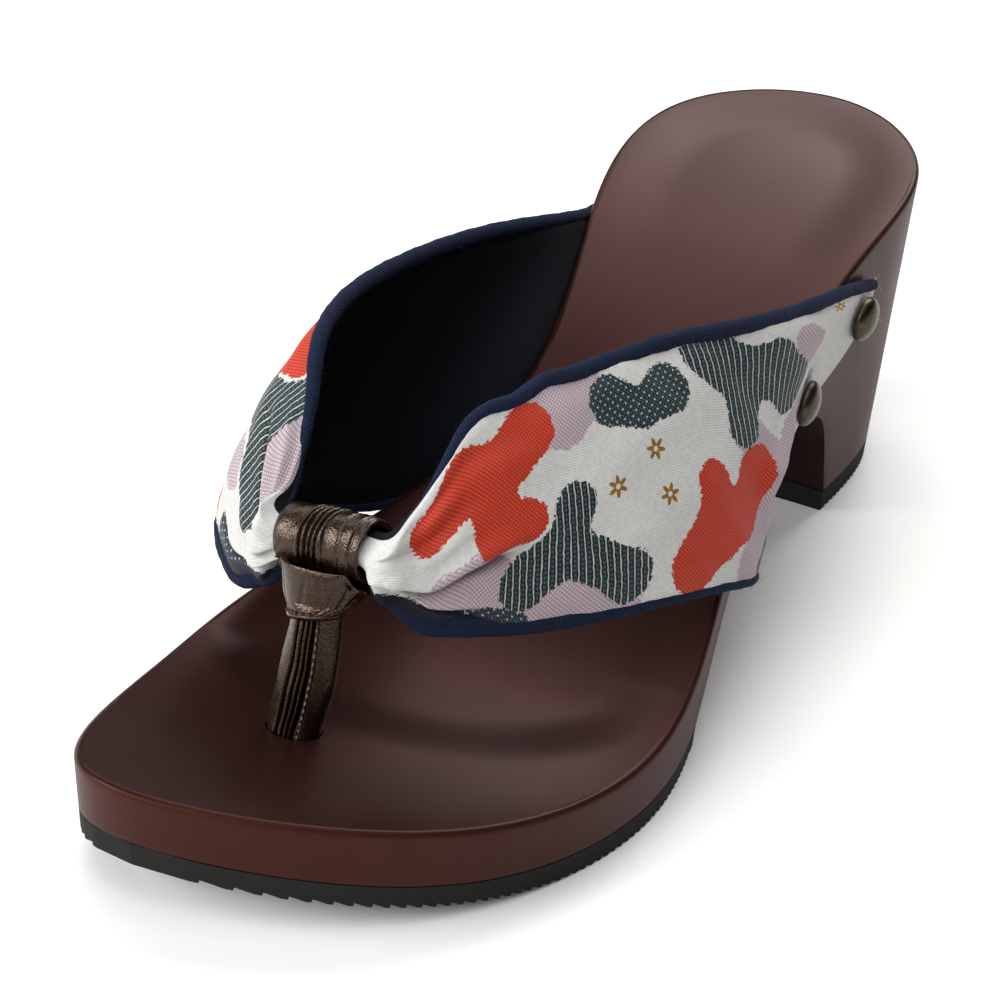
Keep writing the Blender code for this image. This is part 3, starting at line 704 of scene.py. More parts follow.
@dataclass(frozen=True)
class CamouflageJacquard(Finish):
    """Jacquard of silk and polyester: patches of colour, each in its own weave, on an ivory satin ground.

    Its threads are drawn about twice as wide as real silk ones, so that they show.
    """

    name: str = "camouflage_jacquard"
    roughness: float = 0.62
    ivory: str = "#c3c3c0"
    ivory_furrow: str = "#a6a5a3"
    lilac: str = "#b5a7ae"
    lilac_furrow: str = "#8b7b81"
    red: str = "#cb3a19"
    red_furrow: str = "#84200e"
    teal: str = "#2f464d"
    black: str = "#080b0c"
    pale: str = "#a4aaa5"
    gold: str = "#a87c28"
    gold_furrow: str = "#7d5a1e"
    navy: str = "#0c1220"
    navy_furrow: str = "#020307"
    stripe_pitch: float = 1.45
    dot_pitch: float = 1.9
    dash_pitch: float = 0.9
    twill_pitch: float = 0.63
    petals: float = 6.0
    petal_reach: float = 1.55
    petal_depth: float = 0.62
    heart_radius: float = 0.45

    def shade(self, add: AddNode) -> dict:
        """Weaves chosen by how far each patch of colour is, with edges that step from thread to thread.

        Args:
            add: Adds a node to the material.

        Returns:
            What goes into the shader's inputs.
        """
        flat = add("UVMap", uv_map="cloth")
        along, across, _ = add("SeparateXYZ", {0: flat}).node.outputs
        step, dash = self.twill_pitch, self.dash_pitch
        cell = add("VectorMath", {0: flat, 1: (step, step * 0.8, 1.0)}, operation="SNAP")
        jump = add("TexWhiteNoise", {"Vector": cell}, noise_dimensions="2D")
        ragged = add("MapRange", {0: jump, 1: 0.0, 2: 1.0, 3: -0.3, 4: 0.3})
        broken = add("MapRange", {0: jump, 1: 0.0, 2: 1.0, 3: 0.45, 4: 1.0})
        masks = {}
        for ink in Ink:
            far = add("Attribute", output=2, attribute_name=ink.value)
            edge = add("Math", {0: far, 1: ragged}, operation="ADD")
            masks[ink] = add("MapRange", {0: edge, 1: 0.06, 2: -0.06, 3: 0.0, 4: 1.0})

        slant = add("Math", {0: along, 1: across}, operation="ADD")
        counter = add("Math", {0: along, 1: across}, operation="SUBTRACT")
        soft = add("TexNoise", {"Vector": flat, "Scale": 0.9, "Detail": 1.0}, noise_dimensions="2D")
        wave = add("MapRange", {0: soft, 1: 0.0, 2: 1.0, 3: -0.25, 4: 0.25})
        wander = add("Math", {0: wave, 1: 0.7, 2: along}, operation="MULTIPLY_ADD")
        between = add("Math", {0: wander, 1: self.stripe_pitch * 0.5}, operation="ADD")
        twill = threads(add, slant, step * 1.4, 0.62)
        satin = threads(add, counter, step, 0.55)
        line = threads(add, wander, self.stripe_pitch, 0.17)
        crossings = {
            "lattice": (twill, threads(add, counter, step * 1.4, 0.62)),
            "dash": (threads(add, between, self.stripe_pitch, 0.34), threads(add, across, dash, 0.62)),
            "dot": (threads(add, slant, self.dot_pitch, 0.26), threads(add, counter, self.dot_pitch, 0.26)),
            "tick": (threads(add, along, step, 0.62), threads(add, slant, dash, 0.6)),
            "ground": (threads(add, across, step * 0.8, 0.7), broken),
        }
        weave = {
            name: add("Math", {0: first, 1: second}, operation="MULTIPLY")
            for name, (first, second) in crossings.items()
        }

        colour = add("Mix", {0: weave["ground"], 6: self.ivory_furrow, 7: self.ivory}, **BLEND)
        dashed, ticked = (
            add("Mix", {0: weave[name], 6: self.black, 7: self.teal}, **BLEND) for name in ("dash", "tick")
        )
        gilt = self.blossom(add)
        layers = (
            (masks[Ink.LILAC], weave["lattice"], self.lilac_furrow, self.lilac),
            (masks[Ink.RED], weave["lattice"], self.red_furrow, self.red),
            (masks[Ink.STRIPE], line, dashed, self.pale),
            (masks[Ink.DOT], weave["dot"], ticked, self.pale),
            (gilt, satin, self.gold_furrow, self.gold),
            (masks[Ink.LINING], twill, self.navy_furrow, self.navy),
        )
        for mask, thread, furrow, raised in layers:
            woven = add("Mix", {0: thread, 6: furrow, 7: raised}, **BLEND)
            colour = add("Mix", {0: mask, 6: colour, 7: woven}, **BLEND)
        padded = add("Math", {0: masks[Ink.LILAC], 1: masks[Ink.RED]}, operation="MAXIMUM")
        relief = add("Math", {0: weave["lattice"], 1: padded}, operation="MULTIPLY")
        relief = add("Math", {0: satin, 1: 0.35, 2: relief}, operation="MULTIPLY_ADD")
        relief = add("Math", {0: line, 1: masks[Ink.STRIPE], 2: relief}, operation="MULTIPLY_ADD")
        return {
            "Base Color": colour,
            "Metallic": add("Math", {0: gilt, 1: 0.7}, operation="MULTIPLY"),
            "Specular IOR Level": 0.3,
            "Sheen Weight": 0.03,
            "Sheen Roughness": 0.4,
            "Normal": add("Bump", {"Strength": 0.4, "Distance": 0.00014, "Height": relief}),
        }

    def blossom(self, add: AddNode) -> Socket:
        """Mask of the gold motif, a six-petalled blossom about 4.5 mm across, round a bare heart.

        Args:
            add: Adds a node to the material.

        Returns:
            1 on the petals, 0 elsewhere.
        """
        motif = add("Attribute", output=1, attribute_name="motif")
        x, y, outside = add("SeparateXYZ", {0: motif}).node.outputs
        turn = add("Math", {0: x, 1: y}, operation="ARCTAN2")
        turn = add("Math", {0: turn, 1: self.petals}, operation="MULTIPLY")
        edge = add("Math", {0: turn}, operation="COSINE")
        edge = add("Math", {0: edge, 1: self.petal_depth, 2: self.petal_reach}, operation="MULTIPLY_ADD")
        reach = add("VectorMath", {0: add("CombineXYZ", {0: x, 1: y})}, 1, operation="LENGTH")
        over = add("Math", {0: reach, 1: edge}, operation="SUBTRACT")
        mask = add("MapRange", {0: over, 1: 0.08, 2: -0.08, 3: 0.0, 4: 1.0})
        limits = (
            add("MapRange", {0: reach, 1: self.heart_radius, 2: self.heart_radius + 0.15, 3: 0.0, 4: 1.0}),
            add("Math", {0: outside, 1: 0.5}, operation="LESS_THAN"),
        )
        for limit in limits:
            mask = add("Math", {0: mask, 1: limit}, operation="MULTIPLY")
        return mask


@dataclass(frozen=True)
class PaperFloor(Finish):
    """Matt background paper, nearly white."""

    name: str = "background_paper"
    roughness: float = 0.9
    colour: str = "#f2f1ef"
    tooth_size: float = 2.5

    def shade(self, add: AddNode) -> dict:
        """The faintest tooth in the paper.

        Args:
            add: Adds a node to the material.

        Returns:
            What goes into the shader's inputs.
        """
        place = add("TexCoord", output=3)
        tooth = add("TexNoise", {"Vector": place, "Scale": cells(self.tooth_size), "Detail": 2.0})
        return {
            "Base Color": self.colour,
            "Normal": add("Bump", {"Strength": 0.02, "Distance": 0.0002, "Height": tooth}),
        }


# Pieces


class Ring(NamedTuple):
    """One oval ring of a leather piece: centre, half sizes, and the lift of its outer side and its front."""

    x: float
    y: float
    z: float
    across: float
    along: float
    side_lift: float = 0.0
    front_lift: float = 0.0


@dataclass
class Block:
    """The lacquered block and its rubber outsoles.

    The outline's points are (x, y) in plan, from the toe's tip round the outer side. The rows of rim and arch
    are (y, height), the arch's from the forefoot back to the heel, and those of the hollow (y, depth).
    """

    outline: tuple = (
        (-20.7, -122.4), (21.9, -102.6), (43.8, -70.0), (48.4, -39.8), (40.0, 6.9), (37.8, 60.2),
        (37.3, 102.0), (12.5, 122.2), (-19.3, 106.0), (-22.1, 63.7), (-15.4, 9.8), (-40.7, -36.3),
        (-48.4, -70.9), (-41.3, -114.6),
    )
    rim: tuple = ((-122.5, 26.7), (-87.5, 19.1), (-42.5, 19.4), (7.5, 41.3), (67.5, 65.3), (122.5, 72.7))
    arch: tuple = (
        (-24.0, 5.2), (-8.0, 13.2), (12.0, 24.0), (28.0, 32.6), (38.0, 35.6), (46.0, 35.2), (53.0, 32.8),
        (59.5, 28.8), (63.6, 22.0), (66.4, 13.5), (69.0, 5.2),
    )
    hollow: tuple = ((-76.0, 2.6), (-45.0, 2.8), (0.0, 1.6), (60.0, 1.1), (122.5, 1.1))
    hollow_runout: float = 17.0
    crest_centre: tuple = (-1.0, -45.0)
    crest_half_width: float = 48.0
    crest_reach: float = 31.0
    crest_skew: float = 0.1
    edge_rounding: float = 1.3
    arch_softening: float = 1.1
    sole_softening: float = 0.25
    wall_draft: float = 0.06
    floor: float = 5.2
    toe_spring: float = 10.0
    spring_start: float = -62.5
    hole_room: float = 0.35
    columns: int = 56
    ring: np.ndarray = field(init=False)
    sides: dict = field(init=False)

    def __post_init__(self) -> None:
        """Sample the outline as a ring and as its two sides."""
        corners = np.array(self.outline + self.outline[:1])
        knots = np.r_[0.0, np.cumsum(np.sqrt(np.linalg.norm(np.diff(corners, axis=0), axis=1)))]
        ring = cubic(knots, corners, np.linspace(0.0, knots[-1], 1440, endpoint=False), closed=True)
        ring = np.roll(ring, -int(ring[:, 1].argmin()), axis=0)
        heel = int(ring[:, 1].argmax())
        self.ring = ring
        self.sides = {LATERAL: ring[: heel + 1], MEDIAL: np.vstack([ring[heel:], ring[:1]])[::-1]}
        self.toe, self.heel = ring[0], ring[heel]

    def side_x(self, side: int, y: np.ndarray) -> np.ndarray:
        """The outline's x on one side at places along the length."""
        return np.interp(y, self.sides[side][:, 1], self.sides[side][:, 0])

    def rim_z(self, y: np.ndarray) -> np.ndarray:
        """Height of the footbed's edge."""
        return cubic([y for y, _ in self.rim], [[z] for _, z in self.rim], np.atleast_1d(y))[:, 0]

    def wall_x(self, side: int, y: np.ndarray, z: np.ndarray) -> np.ndarray:
        """The side wall's x at a place along the length and a height."""
        return self.side_x(side, y) - side * self.wall_draft * np.clip(self.rim_z(y) - z, 0.0, None)

    def footbed_z(self, points: np.ndarray) -> np.ndarray:
        """Height of the footbed: the rim's height, less the hollow that the foot lies in.

        Args:
            points: Places in plan, one row each.

        Returns:
            One height for each place.
        """
        across = self.crest_half_width * np.cos(np.linspace(math.pi, 0.0, 90))
        reach = np.sqrt(np.clip(1.0 - (across / self.crest_half_width) ** 2, 0.0, None))
        crest = np.column_stack([
            self.crest_centre[0] + across,
            self.crest_centre[1] - self.crest_reach * reach + self.crest_skew * across,
        ])
        from_edge = np.abs(follow(np.vstack([self.ring[::4], self.ring[:1]]), points)[0])
        behind = points[:, 1] - np.interp(points[:, 0], crest[:, 0], crest[:, 1])
        from_crest = np.where(behind > 0.0, np.abs(follow(crest, points)[0]), 0.0)
        inside = np.where(points[:, 1] > 0.0, from_edge, np.minimum(from_edge, from_crest))
        depth = np.interp(points[:, 1], [y for y, _ in self.hollow], [depth for _, depth in self.hollow])
        return self.rim_z(points[:, 1]) - depth * smoothstep(inside / self.hollow_runout)

    def underside(self) -> tuple[np.ndarray, np.ndarray]:
        """Follow the underside from toe to heel, over the arch.

        Returns:
            Places along the length, close together at both ends, and the height at each.
        """
        ways = np.array(self.arch)
        knots = np.r_[0.0, np.cumsum(np.linalg.norm(np.diff(ways, axis=0), axis=1))]
        arch = cubic(knots, ways, np.linspace(0.0, knots[-1], 110))
        front = eased(self.toe[1], ways[0, 0], 110)
        back = eased(self.heel[1], ways[-1, 0], 60)[::-1]
        sprung = np.clip(self.spring_start - front, 0.0, None) / (self.spring_start - self.toe[1])
        lift = self.toe_spring * sprung**2
        places = np.r_[front[:-1], arch[:, 0], back[1:]]
        return places, np.r_[self.floor + lift[:-1], arch[:, 1], np.full(len(back) - 1, self.floor)]

    def courses(self, low: np.ndarray, rim: np.ndarray) -> list[tuple[np.ndarray, np.ndarray]]:
        """Lay out the wall and the rounded rim above it as courses.

        Args:
            low: Height of the wall's foot, all the way round.
            rim: Height of the rim.

        Returns:
            Each course's inset from the outline and its height.
        """
        wall = np.linspace(0.0, 1.0, 7)[:, None] * (rim - self.edge_rounding - low) + low
        courses = [(self.wall_draft * (rim - height), height) for height in wall]
        for angle in np.linspace(0.0, math.pi / 2.0, 8)[1:]:
            below = self.edge_rounding * (1.0 - math.sin(angle))
            inset = self.wall_draft * below + self.edge_rounding * (1.0 - math.cos(angle))
            courses.append((np.full(len(rim), inset), rim - below))
        return courses

    def build(self) -> bpy.types.Object:
        """Make the block at full detail: footbed, rounded rim, drafted wall, arch and heel.

        Its faces are curved both ways from end to end, which no primitive gives, so they come from splines.

        Returns:
            The block.
        """
        places, floor = self.underside()
        count = len(places)
        order = np.r_[np.arange(count), np.arange(1, count - 1)[::-1]]
        y = places[order]
        lateral = np.arange(len(order)) < count
        plan = np.column_stack([np.where(lateral, self.side_x(LATERAL, y), self.side_x(MEDIAL, y)), y])
        plan[0], plan[count - 1] = self.toe, self.heel
        nearest = np.linalg.norm(plan[:, None] - self.ring[None], axis=-1).argmin(axis=1)
        tangent = (np.roll(self.ring, -6, axis=0) - np.roll(self.ring, 6, axis=0))[nearest]
        normal = np.column_stack([tangent[:, 1], -tangent[:, 0]]) / np.linalg.norm(tangent, axis=1)[:, None]
        courses = self.courses(floor[order], self.rim_z(y))
        points = np.concatenate([
            np.column_stack([plan - normal * inset[:, None], height]) for inset, height in courses
        ])
        loops = [list(range(k * len(order), (k + 1) * len(order))) for k in range(len(courses))]
        faces = [face for lower, upper in zip(loops, loops[1:]) for face in strip(lower, upper)]
        share = (1.0 - np.cos(np.linspace(0.0, math.pi, self.columns + 1)[1:-1])) / 2.0
        pairs = [(2 * count - 2 - k if 0 < k < count - 1 else k, k) for k in range(count)]
        top = points[loops[-1]]
        inner = [top[m, :2] + (top[s, :2] - top[m, :2]) * share[:, None] for m, s in pairs[1:-1]]
        inner = np.concatenate(inner)
        inner = np.column_stack([inner, self.footbed_z(inner)])
        first = len(points)
        points = np.vstack([points, inner])
        rows = [[loops[-1][0]] * (self.columns + 1)]
        for k, (m, s) in enumerate(pairs[1:-1]):
            start = first + k * len(share)
            rows.append([loops[-1][m], *range(start, start + len(share)), loops[-1][s]])
        rows.append([loops[-1][count - 1]] * (self.columns + 1))
        under = [(loops[0][m], loops[0][s]) for m, s in pairs]
        for near, far in zip(rows, rows[1:]):
            faces += [tuple(dict.fromkeys(face)) for face in strip(near, far, closed=False)]
        for near, far in zip(under, under[1:]):
            faces += [tuple(dict.fromkeys(face))[::-1] for face in strip(near, far, closed=False)]
        block = mesh_piece("lacquered_block", points, faces)
        self.soften(block, loops[0])
        return block

    def soften(self, block: bpy.types.Object, loop: list[int]) -> None:
        """Round the block's lower edge, more under the arch than where it stands on rubber.

        Args:
            block: The block.
            loop: Vertex numbers of the lower edge.
        """
        weight = block.data.attributes.new("bevel_weight_edge", "FLOAT", "EDGE")
        lower_edges = {tuple(sorted(pair)) for pair in zip(loop, loop[1:] + loop[:1])}
        for edge in block.data.edges:
            if tuple(sorted(edge.vertices)) in lower_edges:
                along = block.data.vertices[edge.vertices[0]].co.y / MM
                arched = self.arch[0][0] + 2.0 < along < self.arch[-1][0] - 0.5
                weight.data[edge.index].value = 1.0 if arched else self.sole_softening
        modified(block, "BEVEL", width=self.arch_softening * MM, segments=4, limit_method="WEIGHT")
        block.data.set_sharp_from_angle(angle=math.radians(50.0))

    def bore(self, block: bpy.types.Object) -> None:
        """Cut the hole for the post, along the way that the post goes in.

        Args:
            block: The block.
        """
        bpy.ops.object.select_all(action="DESELECT")
        foot, ring = Post.rings[0], Post.rings[2]
        low, high = Vector(foot[:3]), Vector(ring[:3])
        bpy.ops.mesh.primitive_cylinder_add(vertices=64, radius=MM, depth=2.4 * (high - low).length * MM)
        cutter = bpy.context.active_object
        cutter.scale = (ring.across + self.hole_room, ring.along + self.hole_room, 1.0)
        bpy.ops.object.transform_apply(scale=True, location=False, rotation=False)
        turn = Vector((0.0, 0.0, 1.0)).rotation_difference(high - low).to_matrix().to_4x4()
        settle(cutter, Matrix.Translation((low + high) / 2.0 * MM) @ turn)
        modified(block, "BOOLEAN", operation="DIFFERENCE", solver="EXACT", object=cutter)
        bpy.data.objects.remove(cutter, do_unlink=True)

    def dress(self) -> None:
        """Build the block, cut the hole for the post, and give wood and rubber their finishes."""
        block = self.build()
        self.bore(block)
        fit(block, "lacquered_wood", LacqueredWood(), "wooden_base")
        for name in ("front_outsole", "heel_outsole"):
            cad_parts[name].material_slots[0].material = MouldedRubber().material()


class Section(NamedTuple):
    """One cut across the strap, from its lower to its upper edge; bulge is how far its middle stands out."""

    bottom: tuple
    top: tuple
    bulge: float
    roundness: float = 0.0


class Crease(NamedTuple):
    """A soft trough or ridge in the cloth.

    The path is in strap places: millimetres from the band, and share across. The depth is negative for a
    ridge. The lip swells beside it, towards the upper edge, and droops over it. Fades are the shares of the
    path over which it starts and ends.
    """

    path: tuple
    depth: float
    width: float
    lip: float = 0.0
    fade_in: float = 0.3
    fade_out: float = 0.3


class Patch(NamedTuple):
    """A patch of woven colour: a chain of (way from the band, height above the strap's middle, radius)."""

    ink: Ink
    spine: tuple


class Girth(NamedTuple):
    """A piping's size at a way from the band: half sizes out of and along the cloth, reach past its edge."""

    way: float
    thick: float
    tall: float
    proud: float


class Kink(NamedTuple):
    """A small rise or dip of the upper piping, at a way from the band."""

    way: float
    rise: float
    width: float


@dataclass
class Strap:
    """The padded cloth strap with its lining and pipings.

    Sections run from the inner side to the outer one. Seat and end are lines across the strap on the side
    wall, the end its cut edge, as (y, height) from the lower edge to the upper. The rows of the lining strip
    are (way from the band, height that shows).
    """

    block: Block
    sections: tuple = (
        Section((-30.0, -9.0, 24.0), (-27.0, 33.0, 70.3), 1.0),
        Section((-39.0, -24.0, 28.0), (-33.0, -2.0, 77.2), 3.0),
        Section((-46.0, -38.0, 33.0), (-34.0, -28.0, 79.5), 3.5),
        Section((-47.0, -51.0, 37.0), (-30.5, -44.0, 77.0), 3.5),
        Section((-39.5, -61.5, 34.8), (-26.5, -54.0, 68.0), 3.5, 0.1),
        Section((-31.5, -66.0, 37.5), (-25.6, -61.5, 59.5), 2.0, 0.5),
        Section((-24.6, -66.7, 46.3), (-24.4, -66.3, 55.1), 0.0, 1.0),
        Section((-13.8, -67.7, 48.4), (-13.8, -67.5, 57.0), 0.0, 1.0),
        Section((-2.3, -68.9, 50.4), (-2.5, -68.5, 59.0), 0.0, 1.0),
        Section((1.8, -69.0, 43.2), (1.0, -62.6, 63.2), 2.0, 0.5),
        Section((11.0, -65.5, 39.4), (2.5, -49.5, 72.3), 3.0, 0.1),
        Section((21.0, -56.5, 38.2), (7.5, -36.5, 76.0), 3.0),
        Section((33.0, -42.0, 37.6), (14.5, -22.5, 76.6), 3.3),
        Section((44.5, -22.0, 35.4), (24.0, -2.5, 76.1), 3.0),
        Section((47.0, -6.0, 29.5), (35.5, 24.0, 71.6), 1.0),
    )
    band_section: int = 7
    seat: tuple = ((1.0, 27.5), (13.0, 42.0), (30.0, 50.8), (48.0, 57.6), (60.0, 61.8))
    end: tuple = ((7.0, 25.0), (22.0, 38.0), (39.0, 45.0), (58.0, 47.8), (70.5, 58.2))
    controls: int = 5
    rows: int = 380
    columns: int = 96
    wall: float = 3.0
    edge_wall: float = 1.6
    upper_piping: tuple = (
        Girth(8.0, 0.8, 0.8, -0.8),
        Girth(18.0, 0.9, 1.0, -0.4),
        Girth(27.0, 1.2, 1.3, 0.4),
        Girth(40.0, 1.5, 1.6, 0.8),
        Girth(110.0, 1.55, 1.65, 0.8),
        Girth(140.0, 1.2, 1.2, 0.7),
    )
    lower_piping: tuple = (
        Girth(8.0, 1.2, 2.2, 2.2),
        Girth(15.0, 1.6, 2.6, 1.4),
        Girth(24.0, 1.7, 2.6, 0.6),
        Girth(38.0, 1.5, 2.0, 0.5),
        Girth(140.0, 1.4, 1.8, 0.5),
    )
    piping_sides: int = 24
    tuck: float = 1.6
    kinks: tuple = (
        Kink(40.0, -0.8, 4.0),
        Kink(49.0, 0.7, 4.5),
        Kink(31.0, 0.2, 3.0),
        Kink(70.0, -0.2, 5.0),
    )
    bundle: float = 3.9
    puff: float = 2.6
    puff_place: float = 12.5
    puff_width: float = 2.4
    cloth_width: float = 50.0
    creases: tuple = (
        Crease(((12.0, 0.40), (20.0, 0.34), (31.0, 0.34), (46.0, 0.36)), 3.0, 1.5, 2.4, 0.05, 0.5),
        Crease(
            ((9.0, 0.42), (14.0, 0.33), (20.0, 0.21), (26.0, 0.15), (36.0, 0.07)), 1.5, 1.0, 1.3, 0.05, 0.4
        ),
        Crease(((98.0, 0.36), (108.0, 0.44), (117.0, 0.60)), -2.4, 4.0, 0.0, 0.3, 0.4),
        Crease(((10.0, 0.66), (22.0, 0.66), (40.0, 0.60)), 1.0, 2.6, 0.0, 0.1, 0.7),
        Crease(((12.0, 0.86), (30.0, 0.84), (50.0, 0.78)), 0.8, 3.0, 0.0, 0.2, 0.7),
        Crease(((12.0, 0.52), (26.0, 0.50), (44.0, 0.50)), -0.9, 3.0, 0.0, 0.1, 0.7),
        Crease(((-9.0, 0.62), (-16.0, 0.66), (-26.0, 0.70), (-38.0, 0.72)), 3.0, 1.6, 1.0, 0.05, 0.5),
        Crease(((-9.0, 0.20), (-16.0, 0.26), (-24.0, 0.25), (-32.0, 0.22)), 2.4, 1.5, 1.2, 0.05, 0.5),
        Crease(((-10.0, 0.42), (-18.0, 0.46), (-30.0, 0.48)), -1.3, 3.0, 0.0, 0.1, 0.6),
        Crease(((-12.0, 0.86), (-22.0, 0.88), (-36.0, 0.88)), -1.0, 2.2, 0.0, 0.1, 0.6),
        Crease(((-22.0, 0.35), (-30.0, 0.38), (-44.0, 0.40)), 0.9, 2.4, 0.0, 0.3, 0.6),
        Crease(((70.0, 0.10), (92.0, 0.22), (112.0, 0.24)), 0.5, 5.0, 0.0, 0.4, 0.4),
        Crease(((84.0, 0.95), (100.0, 0.70), (118.0, 0.52)), 0.6, 5.0, 0.0, 0.3, 0.4),
        Crease(((100.0, 0.98), (114.0, 0.85), (128.0, 0.80)), -0.6, 3.5, 0.0, 0.3, 0.4),
    )
    patches: tuple = (
        Patch(Ink.RED, ((19.0, 5.0, 3.6), (27.0, 9.5, 6.0), (35.0, 9.0, 5.0), (42.0, 14.5, 5.6))),
        Patch(Ink.RED, ((31.0, 8.0, 4.0), (34.0, 0.0, 4.4), (41.0, -1.5, 3.8))),
        Patch(Ink.STRIPE, ((40.0, -13.0, 5.2), (47.0, -9.0, 4.6), (54.0, -12.0, 3.8), (61.0, -17.0, 5.2))),
        Patch(Ink.STRIPE, ((48.0, -9.0, 4.0), (51.0, -1.0, 4.4))),
        Patch(Ink.DOT, ((62.0, 16.0, 5.0), (69.0, 12.5, 3.4), (76.0, 15.0, 5.2))),
        Patch(Ink.RED, ((76.0, -19.0, 5.6), (84.0, -13.0, 6.4), (92.0, -11.0, 5.0), (97.0, -3.0, 5.6))),
        Patch(Ink.RED, ((85.0, -13.0, 5.0), (83.0, -4.0, 4.2))),
        Patch(Ink.STRIPE, ((88.0, 21.0, 6.0), (96.0, 15.0, 5.6), (104.0, 16.5, 4.6), (110.0, 10.0, 5.2))),
        Patch(Ink.STRIPE, ((96.0, 15.0, 5.0), (94.0, 6.0, 4.2))),
        Patch(Ink.LILAC, ((22.0, -6.0, 4.0), (29.0, -9.0, 6.0), (36.0, -16.0, 7.0))),
        Patch(Ink.LILAC, ((36.0, -16.0, 6.0), (48.0, -20.0, 6.6), (58.0, -24.0, 6.0))),
        Patch(Ink.LILAC, ((44.0, 24.0, 5.6), (50.0, 16.0, 6.0), (57.0, 19.0, 5.0))),
        Patch(Ink.LILAC, ((96.0, 4.0, 4.6), (101.0, -3.0, 6.0), (103.0, -12.0, 5.6))),
        Patch(Ink.LILAC, ((98.0, -22.0, 8.0), (107.0, -12.0, 7.0), (113.0, -2.0, 6.4), (122.0, 2.0, 6.0))),
        Patch(Ink.DOT, ((108.0, -25.0, 5.6), (115.0, -20.0, 4.4), (122.0, -22.0, 6.0))),
        Patch(Ink.LILAC, ((112.0, 20.0, 3.4), (117.0, 15.0, 3.6))),
        Patch(Ink.STRIPE, ((14.0, -8.5, 3.0), (20.0, -12.5, 3.6), (27.0, -15.5, 3.0))),
        Patch(Ink.DOT, ((31.0, -18.5, 3.8), (38.0, -22.0, 4.0))),
        Patch(Ink.STRIPE, ((-20.0, 2.0, 4.0), (-27.0, 4.0, 5.0), (-34.0, 9.0, 5.6), (-42.0, 7.0, 4.6))),
        Patch(Ink.STRIPE, ((-33.0, 8.0, 5.0), (-31.0, 16.0, 4.4))),
        Patch(Ink.RED, ((-40.0, 20.0, 5.0), (-48.0, 15.0, 6.2), (-55.0, 18.0, 5.0))),
        Patch(Ink.LILAC, ((-18.0, 9.0, 3.4), (-24.0, 14.0, 4.6))),
        Patch(Ink.LILAC, ((-34.0, -4.0, 4.6), (-42.0, -5.0, 6.0), (-51.0, -1.0, 6.4), (-58.0, 5.0, 5.6))),
        Patch(Ink.DOT, ((-19.0, -9.0, 3.2), (-26.0, -13.0, 4.4))),
        Patch(Ink.RED, ((-40.0, -18.0, 4.6), (-48.0, -15.0, 5.6), (-57.0, -17.0, 6.6), (-64.0, -12.0, 4.6))),
        Patch(Ink.STRIPE, ((-62.0, 15.0, 5.6), (-70.0, 9.0, 5.4), (-78.0, 11.0, 6.2), (-84.0, 4.0, 4.6))),
        Patch(Ink.STRIPE, ((-71.0, 9.0, 4.6), (-70.0, 0.0, 4.8))),
        Patch(Ink.LILAC, ((-74.0, -12.0, 6.4), (-84.0, -10.0, 7.0), (-92.0, -2.0, 6.0), (-100.0, 0.0, 5.6))),
        Patch(Ink.RED, ((-92.0, 18.0, 6.0), (-100.0, 12.0, 6.6), (-108.0, 15.0, 5.0), (-112.0, 8.0, 4.6))),
        Patch(Ink.DOT, ((-82.0, -22.0, 5.6), (-90.0, -19.0, 4.2), (-97.0, -22.0, 6.0))),
        Patch(Ink.LILAC, ((-108.0, -18.0, 7.0), (-116.0, -8.0, 7.0), (-124.0, -4.0, 6.0))),
        Patch(Ink.STRIPE, ((-114.0, 24.0, 6.0), (-122.0, 18.0, 5.6), (-129.0, 21.0, 5.0))),
        Patch(Ink.RED, ((-122.0, -22.0, 6.0), (-129.0, -15.0, 5.6), (-133.0, -5.0, 4.6))),
    )
    lining_strip: tuple = ((11.0, 0.3), (13.5, 2.0), (18.0, 5.2), (24.0, 5.4), (34.0, 3.4), (46.0, 0.0))
    motif_pitch: tuple = (10.0, 9.0)
    motif_room: float = 3.0

    def wall_line(self, side: int, levels: tuple) -> np.ndarray:
        """Lay a line across the strap where it lies against the side wall.

        Args:
            side: Which side.
            levels: Points of the line as (y, height), from the lower edge to the upper.

        Returns:
            The points of the strap's middle surface there.
        """
        y, z = np.array(levels).T
        x = self.block.wall_x(side, y, z) + side * (GAP + self.wall / 2.0)
        return np.column_stack([x, y, z])

    def __post_init__(self) -> None:
        """Lay out the strap's middle surface and its measures along and across."""
        bottoms = np.array([section.bottom for section in self.sections], float)
        tops = np.array([section.top for section in self.sections], float)
        outward = np.cross(np.gradient((bottoms + tops) / 2.0, axis=0), tops - bottoms)
        outward /= np.linalg.norm(outward, axis=1)[:, None]
        share = np.linspace(0.0, 1.0, self.controls)
        arc = 4.0 * share * (1.0 - share)
        cuts = [
            bottom + (top - bottom) * share[:, None] + out * (section.bulge * arc)[:, None]
            for section, bottom, top, out in zip(self.sections, bottoms, tops, outward)
        ]
        inner_end = [self.wall_line(MEDIAL, levels) for levels in (self.end, self.seat)]
        outer_end = [self.wall_line(LATERAL, levels) for levels in (self.seat, self.end)]
        controls = np.array([*inner_end, *cuts, *outer_end])
        knots = np.r_[0.0, np.cumsum(np.linalg.norm(np.diff(controls[:, 2], axis=0), axis=1))]
        along = np.linspace(0.0, knots[-1], self.rows)
        lines = cubic(knots, controls.reshape(len(controls), -1), along).reshape(self.rows, self.controls, 3)
        self.across = (1.0 - np.cos(np.linspace(0.0, math.pi, self.columns))) / 2.0
        self.grid = np.array([cubic(share, line, self.across) for line in lines])
        roundness = np.pad([section.roundness for section in self.sections], 2)
        self.roundness = np.interp(along, knots, roundness)
        self.from_band = along - knots[2 + self.band_section]
        self.from_end = np.minimum(along, knots[-1] - along)
        normal = np.cross(np.gradient(self.grid, axis=0), np.gradient(self.grid, axis=1))
        self.normal = normal / np.linalg.norm(normal, axis=2)[..., None]
